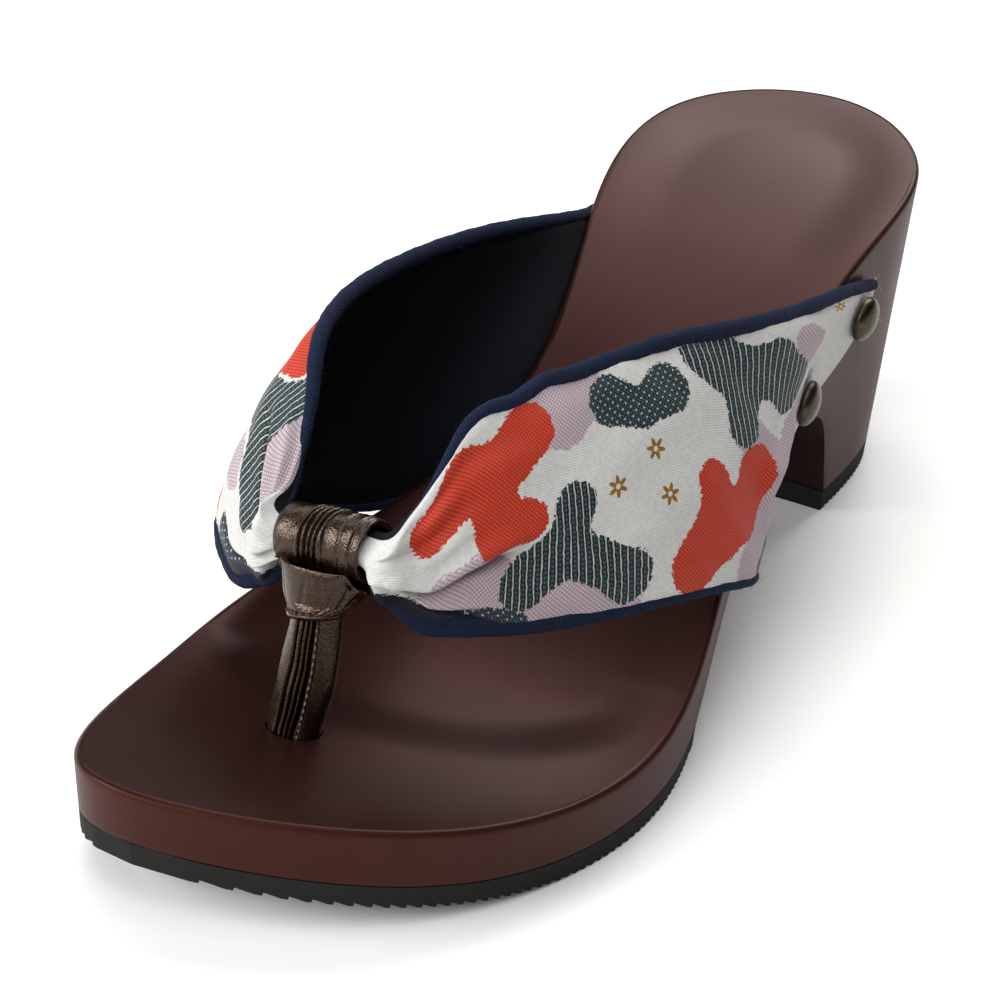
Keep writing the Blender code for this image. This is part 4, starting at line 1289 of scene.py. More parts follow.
        upward = np.gradient(self.grid, axis=1)
        self.upward = upward / np.linalg.norm(upward, axis=2)[..., None]
        self.height = np.linalg.norm(np.diff(self.grid, axis=1), axis=2).sum(axis=1)
        way, rise = np.broadcast_arrays(self.from_band[:, None], (self.across - 0.5) * self.height[:, None])
        self.cloth = np.stack([way, rise], axis=-1)
        self.cords: dict = {}

    def relief(self) -> tuple[np.ndarray, np.ndarray]:
        """Work out the creases and the slack of the cloth.

        Returns:
            How far they lift the cloth, and how far the creases' lips droop, at each point of the grid.
        """
        ways, shares = np.meshgrid(self.from_band, self.across, indexing="ij")
        places = np.column_stack([ways.ravel(), shares.ravel() * self.cloth_width])
        lift, droop = np.zeros(len(places)), np.zeros(len(places))
        for crease in self.creases:
            path = [(way, share * self.cloth_width) for way, share in crease.path]
            if path[0][0] < 0.0:
                path = path[::-1]
            beside, passed = follow(path, places)
            if crease.path[0][0] < 0.0:
                passed = 1.0 - passed
            strength = smoothstep(passed / crease.fade_in) * smoothstep((1.0 - passed) / crease.fade_out)
            trough = np.exp(-((beside / crease.width) ** 2))
            lip = np.exp(-(((beside - 2.2 * crease.width) / (1.5 * crease.width)) ** 2))
            lift += strength * (crease.lip * lip - crease.depth * trough)
            droop += strength * crease.lip * lip
        slack = (
            0.22 * np.sin(0.33 * places[:, 0] + 0.21 * places[:, 1] + 1.0)
            + 0.16 * np.sin(0.17 * places[:, 0] - 0.38 * places[:, 1] + 2.2)
            + 0.07 * np.sin(0.71 * places[:, 0] + 0.62 * places[:, 1])
        )
        free = (1.0 - self.roundness) * smoothstep(self.from_end / 16.0)
        edge = smoothstep(np.minimum(self.across, 1.0 - self.across) / 0.06)
        lift, droop, slack = (part.reshape(ways.shape) * edge for part in (lift, droop, slack))
        return lift + slack * free[:, None], droop

    def half_thickness(self) -> np.ndarray:
        """Pad the strap: thin at its piped edges, thick between, a round bundle at the band.

        Returns:
            Half the thickness at each point of the grid.
        """
        from_edge = np.minimum(self.across, 1.0 - self.across)[None] * self.height[:, None]
        padding = self.edge_wall / 2.0 + (self.wall - self.edge_wall) / 2.0 * smoothstep(from_edge / 7.0)
        nose = np.sqrt(np.clip(1.0 - (1.0 - from_edge / 0.8) ** 2, 0.0, 1.0))
        flat = padding * np.where(from_edge < 0.8, nose, 1.0)
        bundle = self.bundle * np.sqrt(np.clip(1.0 - (2.0 * self.across - 1.0) ** 2, 0.0, None))[None]
        return self.roundness[:, None] * bundle + (1.0 - self.roundness[:, None]) * flat

    def clear_of_wood(self, inner: np.ndarray, outer: np.ndarray) -> None:
        """Move a pair of surfaces sideways until the inner one clears the block.

        Args:
            inner: The lining's face, a grid of points.
            outer: The cloth's face, which moves with it.
        """
        for inside, outside in zip(inner, outer):
            side = MEDIAL if inside[:, 0].mean() < 0.0 else LATERAL
            y, z = inside[:, 1], inside[:, 2]
            near = 1.0 - smoothstep((z - self.block.rim_z(y)) / 6.0)
            short = side * (self.block.wall_x(side, y, z) - inside[:, 0]) + GAP
            shift = side * np.clip(short, 0.0, None) * near
            inside[:, 0] += shift
            outside[:, 0] += shift

    def surfaces(self) -> tuple[np.ndarray, np.ndarray]:
        """Pad the middle surface on both sides.

        Returns:
            The cloth's face and the lining's face, as grids of points.
        """
        half = self.half_thickness()[..., None]
        lift, droop = self.relief()
        from_puff = np.abs(self.from_band)[:, None] - self.puff_place
        swell = self.puff * np.exp(-((from_puff / self.puff_width) ** 2))
        sag = swell * (1.0 - self.across) ** 2
        outer = self.grid + half * self.normal + (lift + swell)[..., None] * self.normal
        outer = outer - (droop + sag)[..., None] * self.upward
        inner = self.grid - half * self.normal + 0.35 * (lift + swell)[..., None] * self.normal
        inner = inner - sag[..., None] * self.upward
        self.clear_of_wood(inner, outer)
        return outer, inner

    def patch_distance(self, places: np.ndarray, inks: Sequence[Ink]) -> np.ndarray:
        """How far places in the cloth lie from patches of some colours.

        Args:
            places: Places as (way from the band, height above the strap's middle), one row each.
            inks: The colours that count.

        Returns:
            The distance to the nearest patch in millimetres, negative inside it.
        """
        best = np.full(len(places), 99.0)
        for patch in self.patches:
            if patch.ink not in inks:
                continue
            for (x0, y0, r0), (x1, y1, r1) in zip(patch.spine, patch.spine[1:]):
                beside, passed = follow(((x0, y0), (x1, y1)), places)
                reach = np.abs(beside) - (r0 + (r1 - r0) * passed)
                soft = np.clip(0.5 + (reach - best) / 4.0, 0.0, 1.0)
                best = reach * (1.0 - soft) + best * soft - 2.0 * soft * (1.0 - soft)
        return best

    def lining_distance(self) -> np.ndarray:
        """Measure the strip of lining that shows along the lower edge.

        Returns:
            How far each point of the grid lies above it.
        """
        above = self.across * self.height[:, None]
        ways, widths = zip(*self.lining_strip)
        return above - np.interp(np.abs(self.from_band), ways, widths, left=0.0, right=0.0)[:, None]

    def motif_places(self) -> np.ndarray:
        """Scatter the gold motifs over the ground that no patch covers.

        Returns:
            Each point's x and y seen from its nearest motif, and 1 where it is too far off to show any of it.
        """
        step, rise = self.motif_pitch
        spots = [(column, row) for column in range(-12, 13) for row in range(-3, 4)]
        centres = np.array([
            (column * step + 1.5 * (row % 2), (row + 0.5 * (column % 2)) * rise) for column, row in spots
        ])
        room = self.patch_distance(centres, tuple(Ink))
        limit = np.interp(centres[:, 0], self.from_band, self.height) / 2.0 - 4.0
        clear = (room > self.motif_room) & (np.abs(centres[:, 1]) < limit) & (np.abs(centres[:, 0]) > 14.0)
        centres = centres[clear]
        places = self.cloth.reshape(-1, 2)
        nearest = np.linalg.norm(places[:, None] - centres, axis=-1).argmin(axis=1)
        offset = places - centres[nearest]
        turn = 1.7 * nearest
        x = offset[:, 0] * np.cos(turn) + offset[:, 1] * np.sin(turn)
        y = offset[:, 1] * np.cos(turn) - offset[:, 0] * np.sin(turn)
        seen = np.column_stack([x, y, np.linalg.norm(offset, axis=1) > self.motif_room])
        return seen.reshape(*self.cloth.shape[:2], 3)

    @staticmethod
    def cloth_map(piece: bpy.types.Object, along: np.ndarray, across: np.ndarray) -> None:
        """Give a piece the map that its weave follows.

        Args:
            piece: The piece.
            along: Each vertex's place along the cloth, in millimetres.
            across: Its place across the cloth.
        """
        layer = piece.data.uv_layers.new(name="cloth")
        corners = np.empty(len(piece.data.loops), int)
        piece.data.loops.foreach_get("vertex_index", corners)
        flat = np.column_stack([np.ravel(along), np.ravel(across)])[corners]
        layer.data.foreach_set("uv", flat.ravel())

    def body(self) -> None:
        """Make the padded body, cloth outside and lining inside, as one closed form."""
        outer, inner = self.surfaces()
        sections = out_and_back(outer, inner)
        around = sections.shape[1]
        loops = [list(range(row * around, (row + 1) * around)) for row in range(self.rows)]
        faces = [face[::-1] for first, second in zip(loops, loops[1:]) for face in strip(first, second)]
        facing = np.tile(np.arange(around), self.rows - 1) >= self.columns - 1
        for loop, turned in ((loops[0], False), (loops[-1], True)):
            pairs = [(loop[around - 1 - k], loop[k]) for k in range(self.columns)]
            for near, far in zip(pairs, pairs[1:]):
                face = (*near, *far[::-1])
                faces.append(face if turned else face[::-1])
        body = mesh_piece("strap_body", sections.reshape(-1, 3), faces, sharp=75.0)
        across = np.cumsum(np.pad(np.linalg.norm(np.diff(outer, axis=1), axis=2), ((0, 0), (1, 0))), axis=1)
        across -= across[:, [self.columns // 2]]
        along = np.repeat(self.from_band[:, None], self.columns, axis=1)
        self.cloth_map(body, out_and_back(along, along), out_and_back(across, across))
        for ink in Ink:
            if ink is Ink.LINING:
                far = self.lining_distance()
            else:
                far = self.patch_distance(self.cloth.reshape(-1, 2), (ink,)).reshape(self.cloth.shape[:2])
            attribute(body, ink.value, "FLOAT", out_and_back(far, far))
        motif = self.motif_places()
        attribute(body, "motif", "FLOAT_VECTOR", out_and_back(motif, motif))
        fit(body, "jacquard_cloth", CamouflageJacquard(), "strap_upper")
        # The lining is a darker copy of the pipings' navy flannel: partly its own darker cloth, partly
        # painted shade for the inside of the strap.
        lining = NavyFlannel(name="navy_lining_painted_shade", dark="#020207", light="#060912", sheen=0.006)
        body.data.materials.append(lining.material())
        slots = np.zeros(len(body.data.polygons), int)
        slots[: len(facing)] = facing
        body.data.polygons.foreach_set("material_index", slots)
        self.outer, self.inner = outer, inner

    def dress(self) -> None:
        """Build the strap's body and pipings."""
        self.body()
        for side_name, side in (("medial", MEDIAL), ("lateral", LATERAL)):
            self.piping_tube(f"{side_name}_upper_piping", -1, side, self.upper_piping)
            self.piping_tube(f"{side_name}_lower_piping", 0, side, self.lower_piping)

    def piping_path(self, rows: np.ndarray, way: np.ndarray, edge: int, kinked: bool) -> np.ndarray:
        """Follow an edge of the cloth, drawn in where the strap is gathered.

        Args:
            rows: Rows of the grid that the piping covers, from the band outwards.
            way: Each row's way from the band.
            edge: Column of the grid, 0 for the lower edge and -1 for the upper.
            kinked: Whether the small rises and dips are in it.

        Returns:
            The points of the edge.
        """
        path = (self.outer[rows, edge] + self.inner[rows, edge]) / 2.0
        if edge:
            tucked = self.tuck * (1.0 - smoothstep((way - 10.0) / 16.0))
            path = path - self.normal[rows, edge] * tucked[:, None]
        if kinked:
            kink = sum(bend.rise * np.exp(-(((way - bend.way) / bend.width) ** 2)) for bend in self.kinks)
            path = path + self.upward[rows, edge] * kink[:, None]
        return path

    def piping_tube(self, name: str, edge: int, side: int, sizes: tuple) -> None:
        """Make one piping: a flannel-covered cord along an edge of one wing.

        Args:
            name: The piece's name.
            edge: Column of the grid that the cord follows, 0 for the lower edge and -1 for the upper.
            side: Which wing.
            sizes: Its girths, from the band outwards.
        """
        rows = np.flatnonzero(side * self.from_band > sizes[0].way)[::side]
        way = side * self.from_band[rows]
        thick, tall, proud = cubic([size.way for size in sizes], [size[1:] for size in sizes], way).T
        wobble = 1.0 + 0.03 * np.sin(0.9 * way) + 0.02 * np.sin(2.3 * way + 1.0)
        beyond = self.upward[rows, edge] * (1.0 if edge else -1.0)
        path = self.piping_path(rows, way, edge, kinked=bool(edge) and side == LATERAL)
        path = path + beyond * (proud - tall)[:, None]
        outward = side * np.gradient(path, axis=0)
        outward /= np.linalg.norm(outward, axis=1)[:, None]
        spoke = self.normal[rows, edge]
        spoke = spoke - (spoke * outward).sum(-1)[:, None] * outward
        spoke /= np.linalg.norm(spoke, axis=1)[:, None]
        other = np.cross(outward, spoke)
        sides = self.piping_sides
        angles = np.linspace(0.0, 2.0 * math.pi, sides, endpoint=False)
        tall = tall * wobble
        out, up = spoke * (thick * wobble)[:, None], other * tall[:, None]
        points = np.stack([path + out * math.cos(a) + up * math.sin(a) for a in angles], axis=1)
        self.cords[name] = (path, points)
        count = len(rows)
        loops = [list(range(k * sides, (k + 1) * sides)) for k in range(count)]
        faces = [face for first, second in zip(loops, loops[1:]) for face in strip(first, second)]
        vertices = np.vstack([points.reshape(-1, 3), path[:1], path[-1:]])
        first, last = len(vertices) - 2, len(vertices) - 1
        faces += [(first, loops[0][(i + 1) % sides], loops[0][i]) for i in range(sides)]
        faces += [(last, loops[-1][i], loops[-1][(i + 1) % sides]) for i in range(sides)]
        if side == MEDIAL:
            faces = [face[::-1] for face in faces]
        piece = mesh_piece(name, vertices, faces, sharp=180.0)
        around = np.append(np.outer(tall, angles).ravel(), (0.0, 0.0))
        ways = np.append(np.repeat(way, sides), (way[0], way[-1]))
        self.cloth_map(piece, ways, around)
        fit(piece, "jacquard_cloth", NavyFlannel())


@dataclass
class Lint:
    """Loose fibres on the brushed pipings, and threads frayed from the strap's cut ends.

    Lengths are from the shortest to the longest. The ends are frayed between two shares of their height.
    """

    strap: Strap
    seed: int = 7
    fuzz: int = 620
    fuzz_length: tuple = (0.35, 1.3)
    fuzz_radius: float = 0.022
    strays: int = 4
    stray_length: tuple = (1.5, 3.6)
    threads: int = 9
    thread_length: tuple = (1.6, 4.2)
    thread_radius: float = 0.07
    frayed: tuple = (0.72, 0.97)

    def fibres(self, name: str, roots: np.ndarray, ways: np.ndarray, radius: float, finish: Finish) -> None:
        """Make a tuft of bent, tapering fibres, each a slim tube of three sides.

        Args:
            name: The piece's name.
            roots: Where each starts, one row each.
            ways: Where each goes, as long as the fibre.
            radius: Half the thickness at the root.
            finish: The fibre's finish.
        """
        chance = np.random.default_rng(len(name) + self.seed)
        share = np.linspace(0.0, 1.0, 5)[None, :, None]
        length = np.linalg.norm(ways, axis=1)[:, None]
        bend = chance.normal(size=ways.shape) * length * 0.35
        path = roots[:, None] + ways[:, None] * share + bend[:, None] * share**2
        side = np.cross(ways, np.array([0.37, 0.61, 0.7]))
        side /= np.linalg.norm(side, axis=1)[:, None]
        other = np.cross(ways / length, side)
        turns = [0.0, 2.0 * math.pi / 3.0, 4.0 * math.pi / 3.0]
        spokes = np.stack([side * math.cos(a) + other * math.sin(a) for a in turns], axis=1)
        points = path[:, :, None] + spokes[:, None] * (radius * (1.0 - 0.75 * share))[..., None]
        faces = []
        for first in range(0, points[..., 0].size, 15):
            rings = [list(range(first + 3 * k, first + 3 * k + 3)) for k in range(5)]
            faces += [face for low, high in zip(rings, rings[1:]) for face in strip(low, high)]
            faces += [tuple(rings[0][::-1]), tuple(rings[-1])]
        fit(mesh_piece(name, points.reshape(-1, 3), faces, sharp=180.0), "jacquard_cloth", finish)

    def dress(self) -> None:
        """Strew lint over the four pipings and fray the two ends."""
        chance = np.random.default_rng(self.seed)
        pale = Fibre("pale_fibre", colour="#3c4868")
        frayed = Fibre("ivory_thread", colour="#d8d5cc")
        for name, (path, points) in self.strap.cords.items():
            rows = chance.integers(4, len(path) - 4, self.fuzz)
            sides = chance.integers(0, points.shape[1], self.fuzz)
            roots = points[rows, sides]
            ways = roots - path[rows]
            ways /= np.linalg.norm(ways, axis=1)[:, None]
            ways = ways + 0.7 * chance.normal(size=ways.shape)
            length = chance.uniform(*self.fuzz_length, self.fuzz)
            ways *= (length / np.linalg.norm(ways, axis=1))[:, None]
            self.fibres(name.replace("piping", "fuzz"), roots, ways, self.fuzz_radius, Fibre("navy_fibre"))
            chosen = slice(0, self.strays)
            longer = ways[chosen] * (chance.uniform(*self.stray_length, self.strays) / 0.8)[:, None]
            self.fibres(name.replace("piping", "lint"), roots[chosen], longer, self.fuzz_radius, pale)
        for name, end in (("medial", 0), ("lateral", -1)):
            limits = (int(share * self.strap.columns) for share in self.frayed)
            columns = chance.integers(*limits, self.threads)
            roots = (self.strap.outer[end, columns] + self.strap.inner[end, columns]) / 2.0
            ways = np.array([0.0, 1.0, -0.1]) + 0.4 * chance.normal(size=roots.shape)
            ways[:, 0] = np.abs(ways[:, 0]) * (1.0 if end else -1.0)
            length = chance.uniform(*self.thread_length, self.threads)
            ways *= (length / np.linalg.norm(ways, axis=1))[:, None]
            self.fibres(f"{name}_frayed_end", roots, ways, self.thread_radius, frayed)


class Pleat(NamedTuple):
    """A groove round the band, at a place along it."""

    place: float
    depth: float


@dataclass
class Band:
    """The leather band round the gathered strap."""

    start: tuple = (-23.6, -66.6, 50.8)
    end: tuple = (-4.0, -68.6, 54.6)
    half_depth: float = 5.8
    half_height: float = 6.4
    wall: float = 1.3
    trim: float = 2.6
    pleats: tuple = (
        Pleat(6.6, 0.8),
        Pleat(7.8, 0.9),
        Pleat(9.0, 0.7),
        Pleat(10.2, 0.9),
        Pleat(11.7, 0.5),
        Pleat(14.9, 0.25),
        Pleat(17.6, 0.35),
    )
    pleat_width: float = 0.3
    slant: float = 0.7
    slant_centre: float = math.radians(145.0)
    slant_reach: float = math.radians(55.0)

    def frame(self) -> tuple[np.ndarray, np.ndarray, np.ndarray, np.ndarray, float]:
        """Measure the band's axis.

        Returns:
            Its start, its direction, its upward and backward directions, and its length.
        """
        start, end = np.array(self.start), np.array(self.end)
        length = float(np.linalg.norm(end - start))
        direction = (end - start) / length
        up = np.array([0.0, 0.0, 1.0]) - direction * direction[2]
        up /= np.linalg.norm(up)
        return start, direction, up, np.cross(up, direction), length

    def shaped(self, places: np.ndarray) -> np.ndarray:
        """Carry the points of a plain tube to the band's pleated form.

        Args:
            places: The points, one row each.

        Returns:
            Their new places.
        """
        start, direction, up, back, length = self.frame()
        angle = np.arctan2(places[:, 1], places[:, 0])
        way = places[:, 2] + length / 2.0
        front = np.clip(-np.cos(angle), 0.0, 1.0) * np.clip(0.5 - 0.5 * np.sin(angle), 0.0, 1.0)
        way = way * (1.0 - self.trim / length * front * (way / length) ** 2)
        lean = (self.slant_centre - angle % (2.0 * math.pi)) / self.slant_reach
        lean = self.slant * np.clip(lean, -1.6, 1.6)
        turned_in = np.exp(-((np.minimum(way, length - way) / 0.6) ** 2))
        swell = 0.25 * np.sin(math.pi * way / length) - 0.5 * turned_in
        for number, pleat in enumerate(self.pleats):
            wander = 0.15 * np.sin(2.0 * angle + 1.7 * number)
            off = (way - pleat.place - lean - wander) / self.pleat_width
            lips = np.exp(-(((np.abs(off) - 1.8) / 0.7) ** 2))
            swell = swell + pleat.depth * (0.2 * lips - np.exp(-(off**2)))
        swell = swell + 0.12 * np.sin(5.0 * angle + 0.8 * way) * np.sin(0.5 * way + angle)
        around = back * np.cos(angle)[:, None] * (self.half_depth + swell)[:, None]
        around = around + up * np.sin(angle)[:, None] * (self.half_height + swell)[:, None]
        return start + direction * way[:, None] + around

    def dress(self) -> None:
        """Model the band from an open cylinder, cut into rings, pressed into pleats and thickened."""
        length = self.frame()[-1]
        band = leather_tube("gathering_band", 180, 190, length)
        sculpt(band, self.shaped)
        modified(band, "SOLIDIFY", thickness=self.wall * MM, offset=-1.0)
        fit(band, "bronze_leather", BronzeLeather(), "toe_band")


def leather_tube(name: str, sides: int, cuts: int, length: float) -> bpy.types.Object:
    """Make an open tube of unit radius along Z, cut into rings, for a leather piece to be shaped from.

    Args:
        name: The piece's name.
        sides: Number of sides.
        cuts: Number of rings cut in.
        length: Its length in millimetres.

    Returns:
        The tube, centred on the origin.
    """
    bpy.ops.object.select_all(action="DESELECT")
    bpy.ops.mesh.primitive_cylinder_add(vertices=sides, radius=MM, depth=length * MM, end_fill_type="NOTHING")
    tube = bpy.context.active_object
    tube.name = name
    edit(tube)
    bpy.ops.mesh.select_mode(type="EDGE")
    bpy.ops.mesh.select_all(action="DESELECT")
    done()
    low, high = (vertex.co.z for vertex in tube.data.vertices[:2])
    for edge in tube.data.edges:
        first, second = (tube.data.vertices[i].co.z for i in edge.vertices)
        edge.select = abs(first - second) > abs(high - low) / 2.0
    bpy.ops.object.mode_set(mode="EDIT")
    bpy.ops.mesh.subdivide(number_cuts=cuts)
    done()
    bpy.ops.object.shade_smooth()
    return tube


def stitched(
    name: str, spots: Sequence[tuple[Vector, Vector]], length: float, radius: float, finish: Finish
) -> None:
    """Sew a row of stitches: one grain-shaped bead, modelled once and copied.

    Args:
        name: The piece's name.
        spots: Each stitch's middle, and the way that it runs.
        length: Half a stitch's length in millimetres.
        radius: Half its thickness.
        finish: The thread's finish.
    """
    bpy.ops.object.select_all(action="DESELECT")
    bpy.ops.mesh.primitive_uv_sphere_add(segments=10, ring_count=7, radius=MM)
    bead = bpy.context.active_object
    bead.data.transform(Matrix.Diagonal((radius, radius, length, 1.0)))
    bpy.ops.object.shade_smooth()
    copies = [
        copied(bead, Matrix.Translation(spot * MM) @ way.to_track_quat("Z", "X").to_matrix().to_4x4())
        for spot, way in spots
    ]
    bpy.data.objects.remove(bead, do_unlink=True)
    fit(joined(copies, name), "bronze_leather", finish)


class Furrow(NamedTuple):
    """A crease up the collar: its angle at the foot in degrees, its drift on the way up, and its depth."""

    angle: float
    drift: float
    depth: float


@dataclass
class Collar:
    """The leather collar: a cone from the neck of the post up round the band, with a stitched hem."""

    rings: tuple = (
        Ring(-13.6, -74.0, 40.4, 5.4, 4.6, 1.3, 1.4),
        Ring(-13.6, -73.6, 41.3, 5.7, 4.9, 1.2, 1.2),
        Ring(-13.6, -72.9, 42.6, 6.5, 5.3, 0.9, 1.0),
        Ring(-13.6, -71.6, 44.0, 8.0, 5.8, 0.5, 0.6),
        Ring(-13.7, -70.4, 46.0, 9.6, 5.4),
    )
    reach: float = 0.985
    tip_droop: float = 1.3
    play: float = 0.5
    wall: float = 1.1
    height: float = 10.0
    creases: tuple = (
        Furrow(250.0, 14.0, 0.18),
        Furrow(283.0, 26.0, 0.3),
        Furrow(296.0, 34.0, 0.36),
        Furrow(308.0, 40.0, 0.3),
        Furrow(322.0, 30.0, 0.26),
        Furrow(226.0, -8.0, 0.2),
        Furrow(200.0, -10.0, 0.3),
        Furrow(345.0, 10.0, 0.3),
        Furrow(60.0, 8.0, 0.25),
        Furrow(120.0, -6.0, 0.25),
    )
    crease_width: float = 0.045
    stitches: int = 22

    def shaped(self, places: np.ndarray) -> np.ndarray:
        """Carry the points of a plain tube to the collar's cone, its rim laid round the band.

        Args:
            places: The points, one row each.

        Returns:
            Their new places.
        """
        band = Band()
        angle = np.arctan2(places[:, 1], places[:, 0])
        share = places[:, 2] / self.height + 0.5
        rings = np.array(self.rings)
        knots = np.r_[0.0, np.cumsum(np.linalg.norm(np.diff(rings[:, :3], axis=0), axis=1))]
        x, y, z, across, along, side_lift, front_lift = cubic(knots / knots[-1], rings, share).T
        z = z + side_lift * np.cos(angle) - front_lift * np.sin(angle)
        patches = 0.5 + 0.5 * np.sin(3.0 * angle)
        fan = 0.07 * np.sin(7.0 * angle + 5.0 * share) * np.sin(math.pi * share) * patches
        between = smoothstep(4.0 * share) * smoothstep(3.0 * (1.0 - share))
        for crease in self.creases:
            middle = np.radians(crease.angle + crease.drift * share)
            off = np.angle(np.exp(1j * (angle - middle))) / self.crease_width
            fan = fan - crease.depth * np.exp(-(off**2)) * between
        points = np.column_stack([x + (across + fan) * np.cos(angle), y + (along + fan) * np.sin(angle), z])
        start, end = np.array(band.start), np.array(band.end)
        axis = start + (end - start) * ((points[:, 0] - start[0]) / (end[0] - start[0]))[:, None]
        offset = np.minimum(np.abs(points[:, 1] - axis[:, 1]) / (band.half_depth + self.play), self.reach)
        rim = axis[:, 2] - (band.half_height + self.play) * np.sqrt(1.0 - offset**2)
        rim -= self.tip_droop * np.clip(np.cos(angle) + 0.3, 0.0, None) ** 1.5
        laid = smoothstep((share - 0.55) / 0.45)
        points[:, 2] += laid * (rim - points[:, 2])
        return points

    def tilted(self, places: np.ndarray) -> np.ndarray:
        """Lift places round the hem to the tilt of its ring.

        Args:
            places: The points, one row each.

        Returns:
            Their new places.
        """
        neck = self.rings[0]
        lift = neck.side_lift * (places[:, 0] - neck.x) / neck.across
        lift -= neck.front_lift * (places[:, 1] - neck.y) / neck.along
        return places + lift[:, None] * np.array([0.0, 0.0, 1.0])

    def dress(self) -> None:
        """Model the cone, its rolled hem and the stitches on it."""
        collar = leather_tube("band_collar", 144, 60, self.height)
        sculpt(collar, self.shaped)
        modified(collar, "SOLIDIFY", thickness=self.wall * MM, offset=-1.0)
        fit(collar, "bronze_leather", BronzeLeather(), "toe_collar")
        neck = self.rings[0]
        bpy.ops.object.select_all(action="DESELECT")
        bpy.ops.mesh.primitive_torus_add(
            major_segments=96, minor_segments=16, major_radius=(neck.across - 0.2) * MM, minor_radius=0.6 * MM
        )
        hem = bpy.context.active_object
        hem.name = "collar_hem"
        hem.data.transform(Matrix.Diagonal((1.0, neck.along / neck.across, 1.1, 1.0)))
        settle(hem, Matrix.Translation(Vector((neck.x, neck.y, neck.z + 0.5)) * MM))
        sculpt(hem, self.tilted)
        bpy.ops.object.shade_smooth()
        fit(hem, "bronze_leather", BronzeLeather())
        spots = []
        for turn in np.linspace(0.0, 2.0 * math.pi, self.stitches, endpoint=False):
            spot = Vector((neck.across * math.cos(turn), neck.along * math.sin(turn), 0.0))
            place = Vector(neck[:3]) + Vector((0.0, 0.0, 1.35)) + 1.07 * spot
            spots.append((Vector(self.tilted(np.array([place]))[0]), Vector((-spot.y, spot.x, 0.0))))
        stitched("hem_stitches", spots, 0.55, 0.2, Fibre(name="red_thread", colour="#451d18"))


class Fold(NamedTuple):
    """A fold down the post: its angle in degrees, its depth in millimetres and its half width in degrees."""

    angle: float
    depth: float
    width: float


@dataclass
class Post:
    """The pleated leather post between the toes."""

    rings: tuple = (
        Ring(-15.1, -84.0, 7.2, 5.2, 4.1),
        Ring(-14.8, -82.4, 12.0, 5.2, 4.1),
        Ring(-14.5, -81.0, 16.0, 5.3, 4.2),
        Ring(-13.7, -77.6, 27.0, 5.8, 4.5),
        Ring(-13.5, -75.2, 34.5, 5.5, 4.3, 0.5, 0.5),
        Ring(-13.5, -74.2, 40.2, 5.0, 4.0, 1.3, 1.4),
    )
    pleats: tuple = (
        Fold(250.0, 1.8, 3.0),
        Fold(265.5, 1.5, 2.0),
        Fold(277.0, 1.5, 2.0),
        Fold(289.0, 1.8, 3.0),
        Fold(300.5, 0.35, 1.2),
    )
    seam: float = math.radians(296.0)
    stitches: int = 17
    height: float = 30.0

    def shaped(self, places: np.ndarray) -> np.ndarray:
        """Carry the points of a plain tube to the post, pleated in front and smooth on its outer side.

        Args:
            places: The points, one row each.

        Returns:
            Their new places.
        """
        angle = np.arctan2(places[:, 1], places[:, 0]) % (2.0 * math.pi)
        share = places[:, 2] / self.height + 0.5
        rings = np.array(self.rings)
        knots = rings[:, 2]
        z = knots[0] + share * (knots[-1] - knots[0])
        x, y, z, across, along, side_lift, front_lift = cubic(knots, rings, z).T
        z = z + side_lift * np.cos(angle) - front_lift * np.sin(angle)
        lean = 0.9 * np.sin(0.3 * z) + 0.5 * np.sin(0.8 * z + 1.0) - 5.0 * (1.0 - share)
        swell = 0.08 * np.sin(3.0 * angle + 0.5 * z)
        for number, fold in enumerate(self.pleats):
            off = (np.degrees(angle) - fold.angle - lean * (0.8 + 0.1 * number)) / fold.width
            swell = swell - fold.depth * np.exp(-(off**2)) * (0.7 + 0.3 * np.sin(math.pi * share))
        return np.column_stack([x + (across + swell) * np.cos(angle), y + (along + swell) * np.sin(angle), z])

    def dress(self) -> None:
        """Model the post from a tube, closed at both ends."""
        post = leather_tube("pleated_post", 480, 90, self.height)
        sculpt(post, self.shaped)
        edit(post)
        bpy.ops.mesh.select_mode(type="EDGE")
        bpy.ops.mesh.select_all(action="DESELECT")
        bpy.ops.mesh.select_non_manifold()
        bpy.ops.mesh.fill_holes(sides=0)
        done()
        post.data.set_sharp_from_angle(angle=math.radians(60.0))
        fit(post, "bronze_leather", BronzeLeather(), "toe_post")
        marks = np.column_stack([
            np.full(self.stitches, math.cos(self.seam)),
            np.full(self.stitches, math.sin(self.seam)),
            (np.linspace(0.27, 0.95, self.stitches) - 0.5) * self.height,
        ])
        line = self.shaped(marks)
        ways = np.gradient(line, axis=0)
        spots = [(Vector(place) + Vector((0.05, -0.15, 0.0)), Vector(way)) for place, way in zip(line, ways)]
        stitched("post_stitches", spots, 0.5, 0.22, Fibre(name="bronze_thread", colour="#5d4c3a"))


class Stud(NamedTuple):
    """Where one stud sits: its side, place along the sole and height, and the solid that it replaces."""

    name: str
    side: int
    y: float
    z: float
    replaced: str


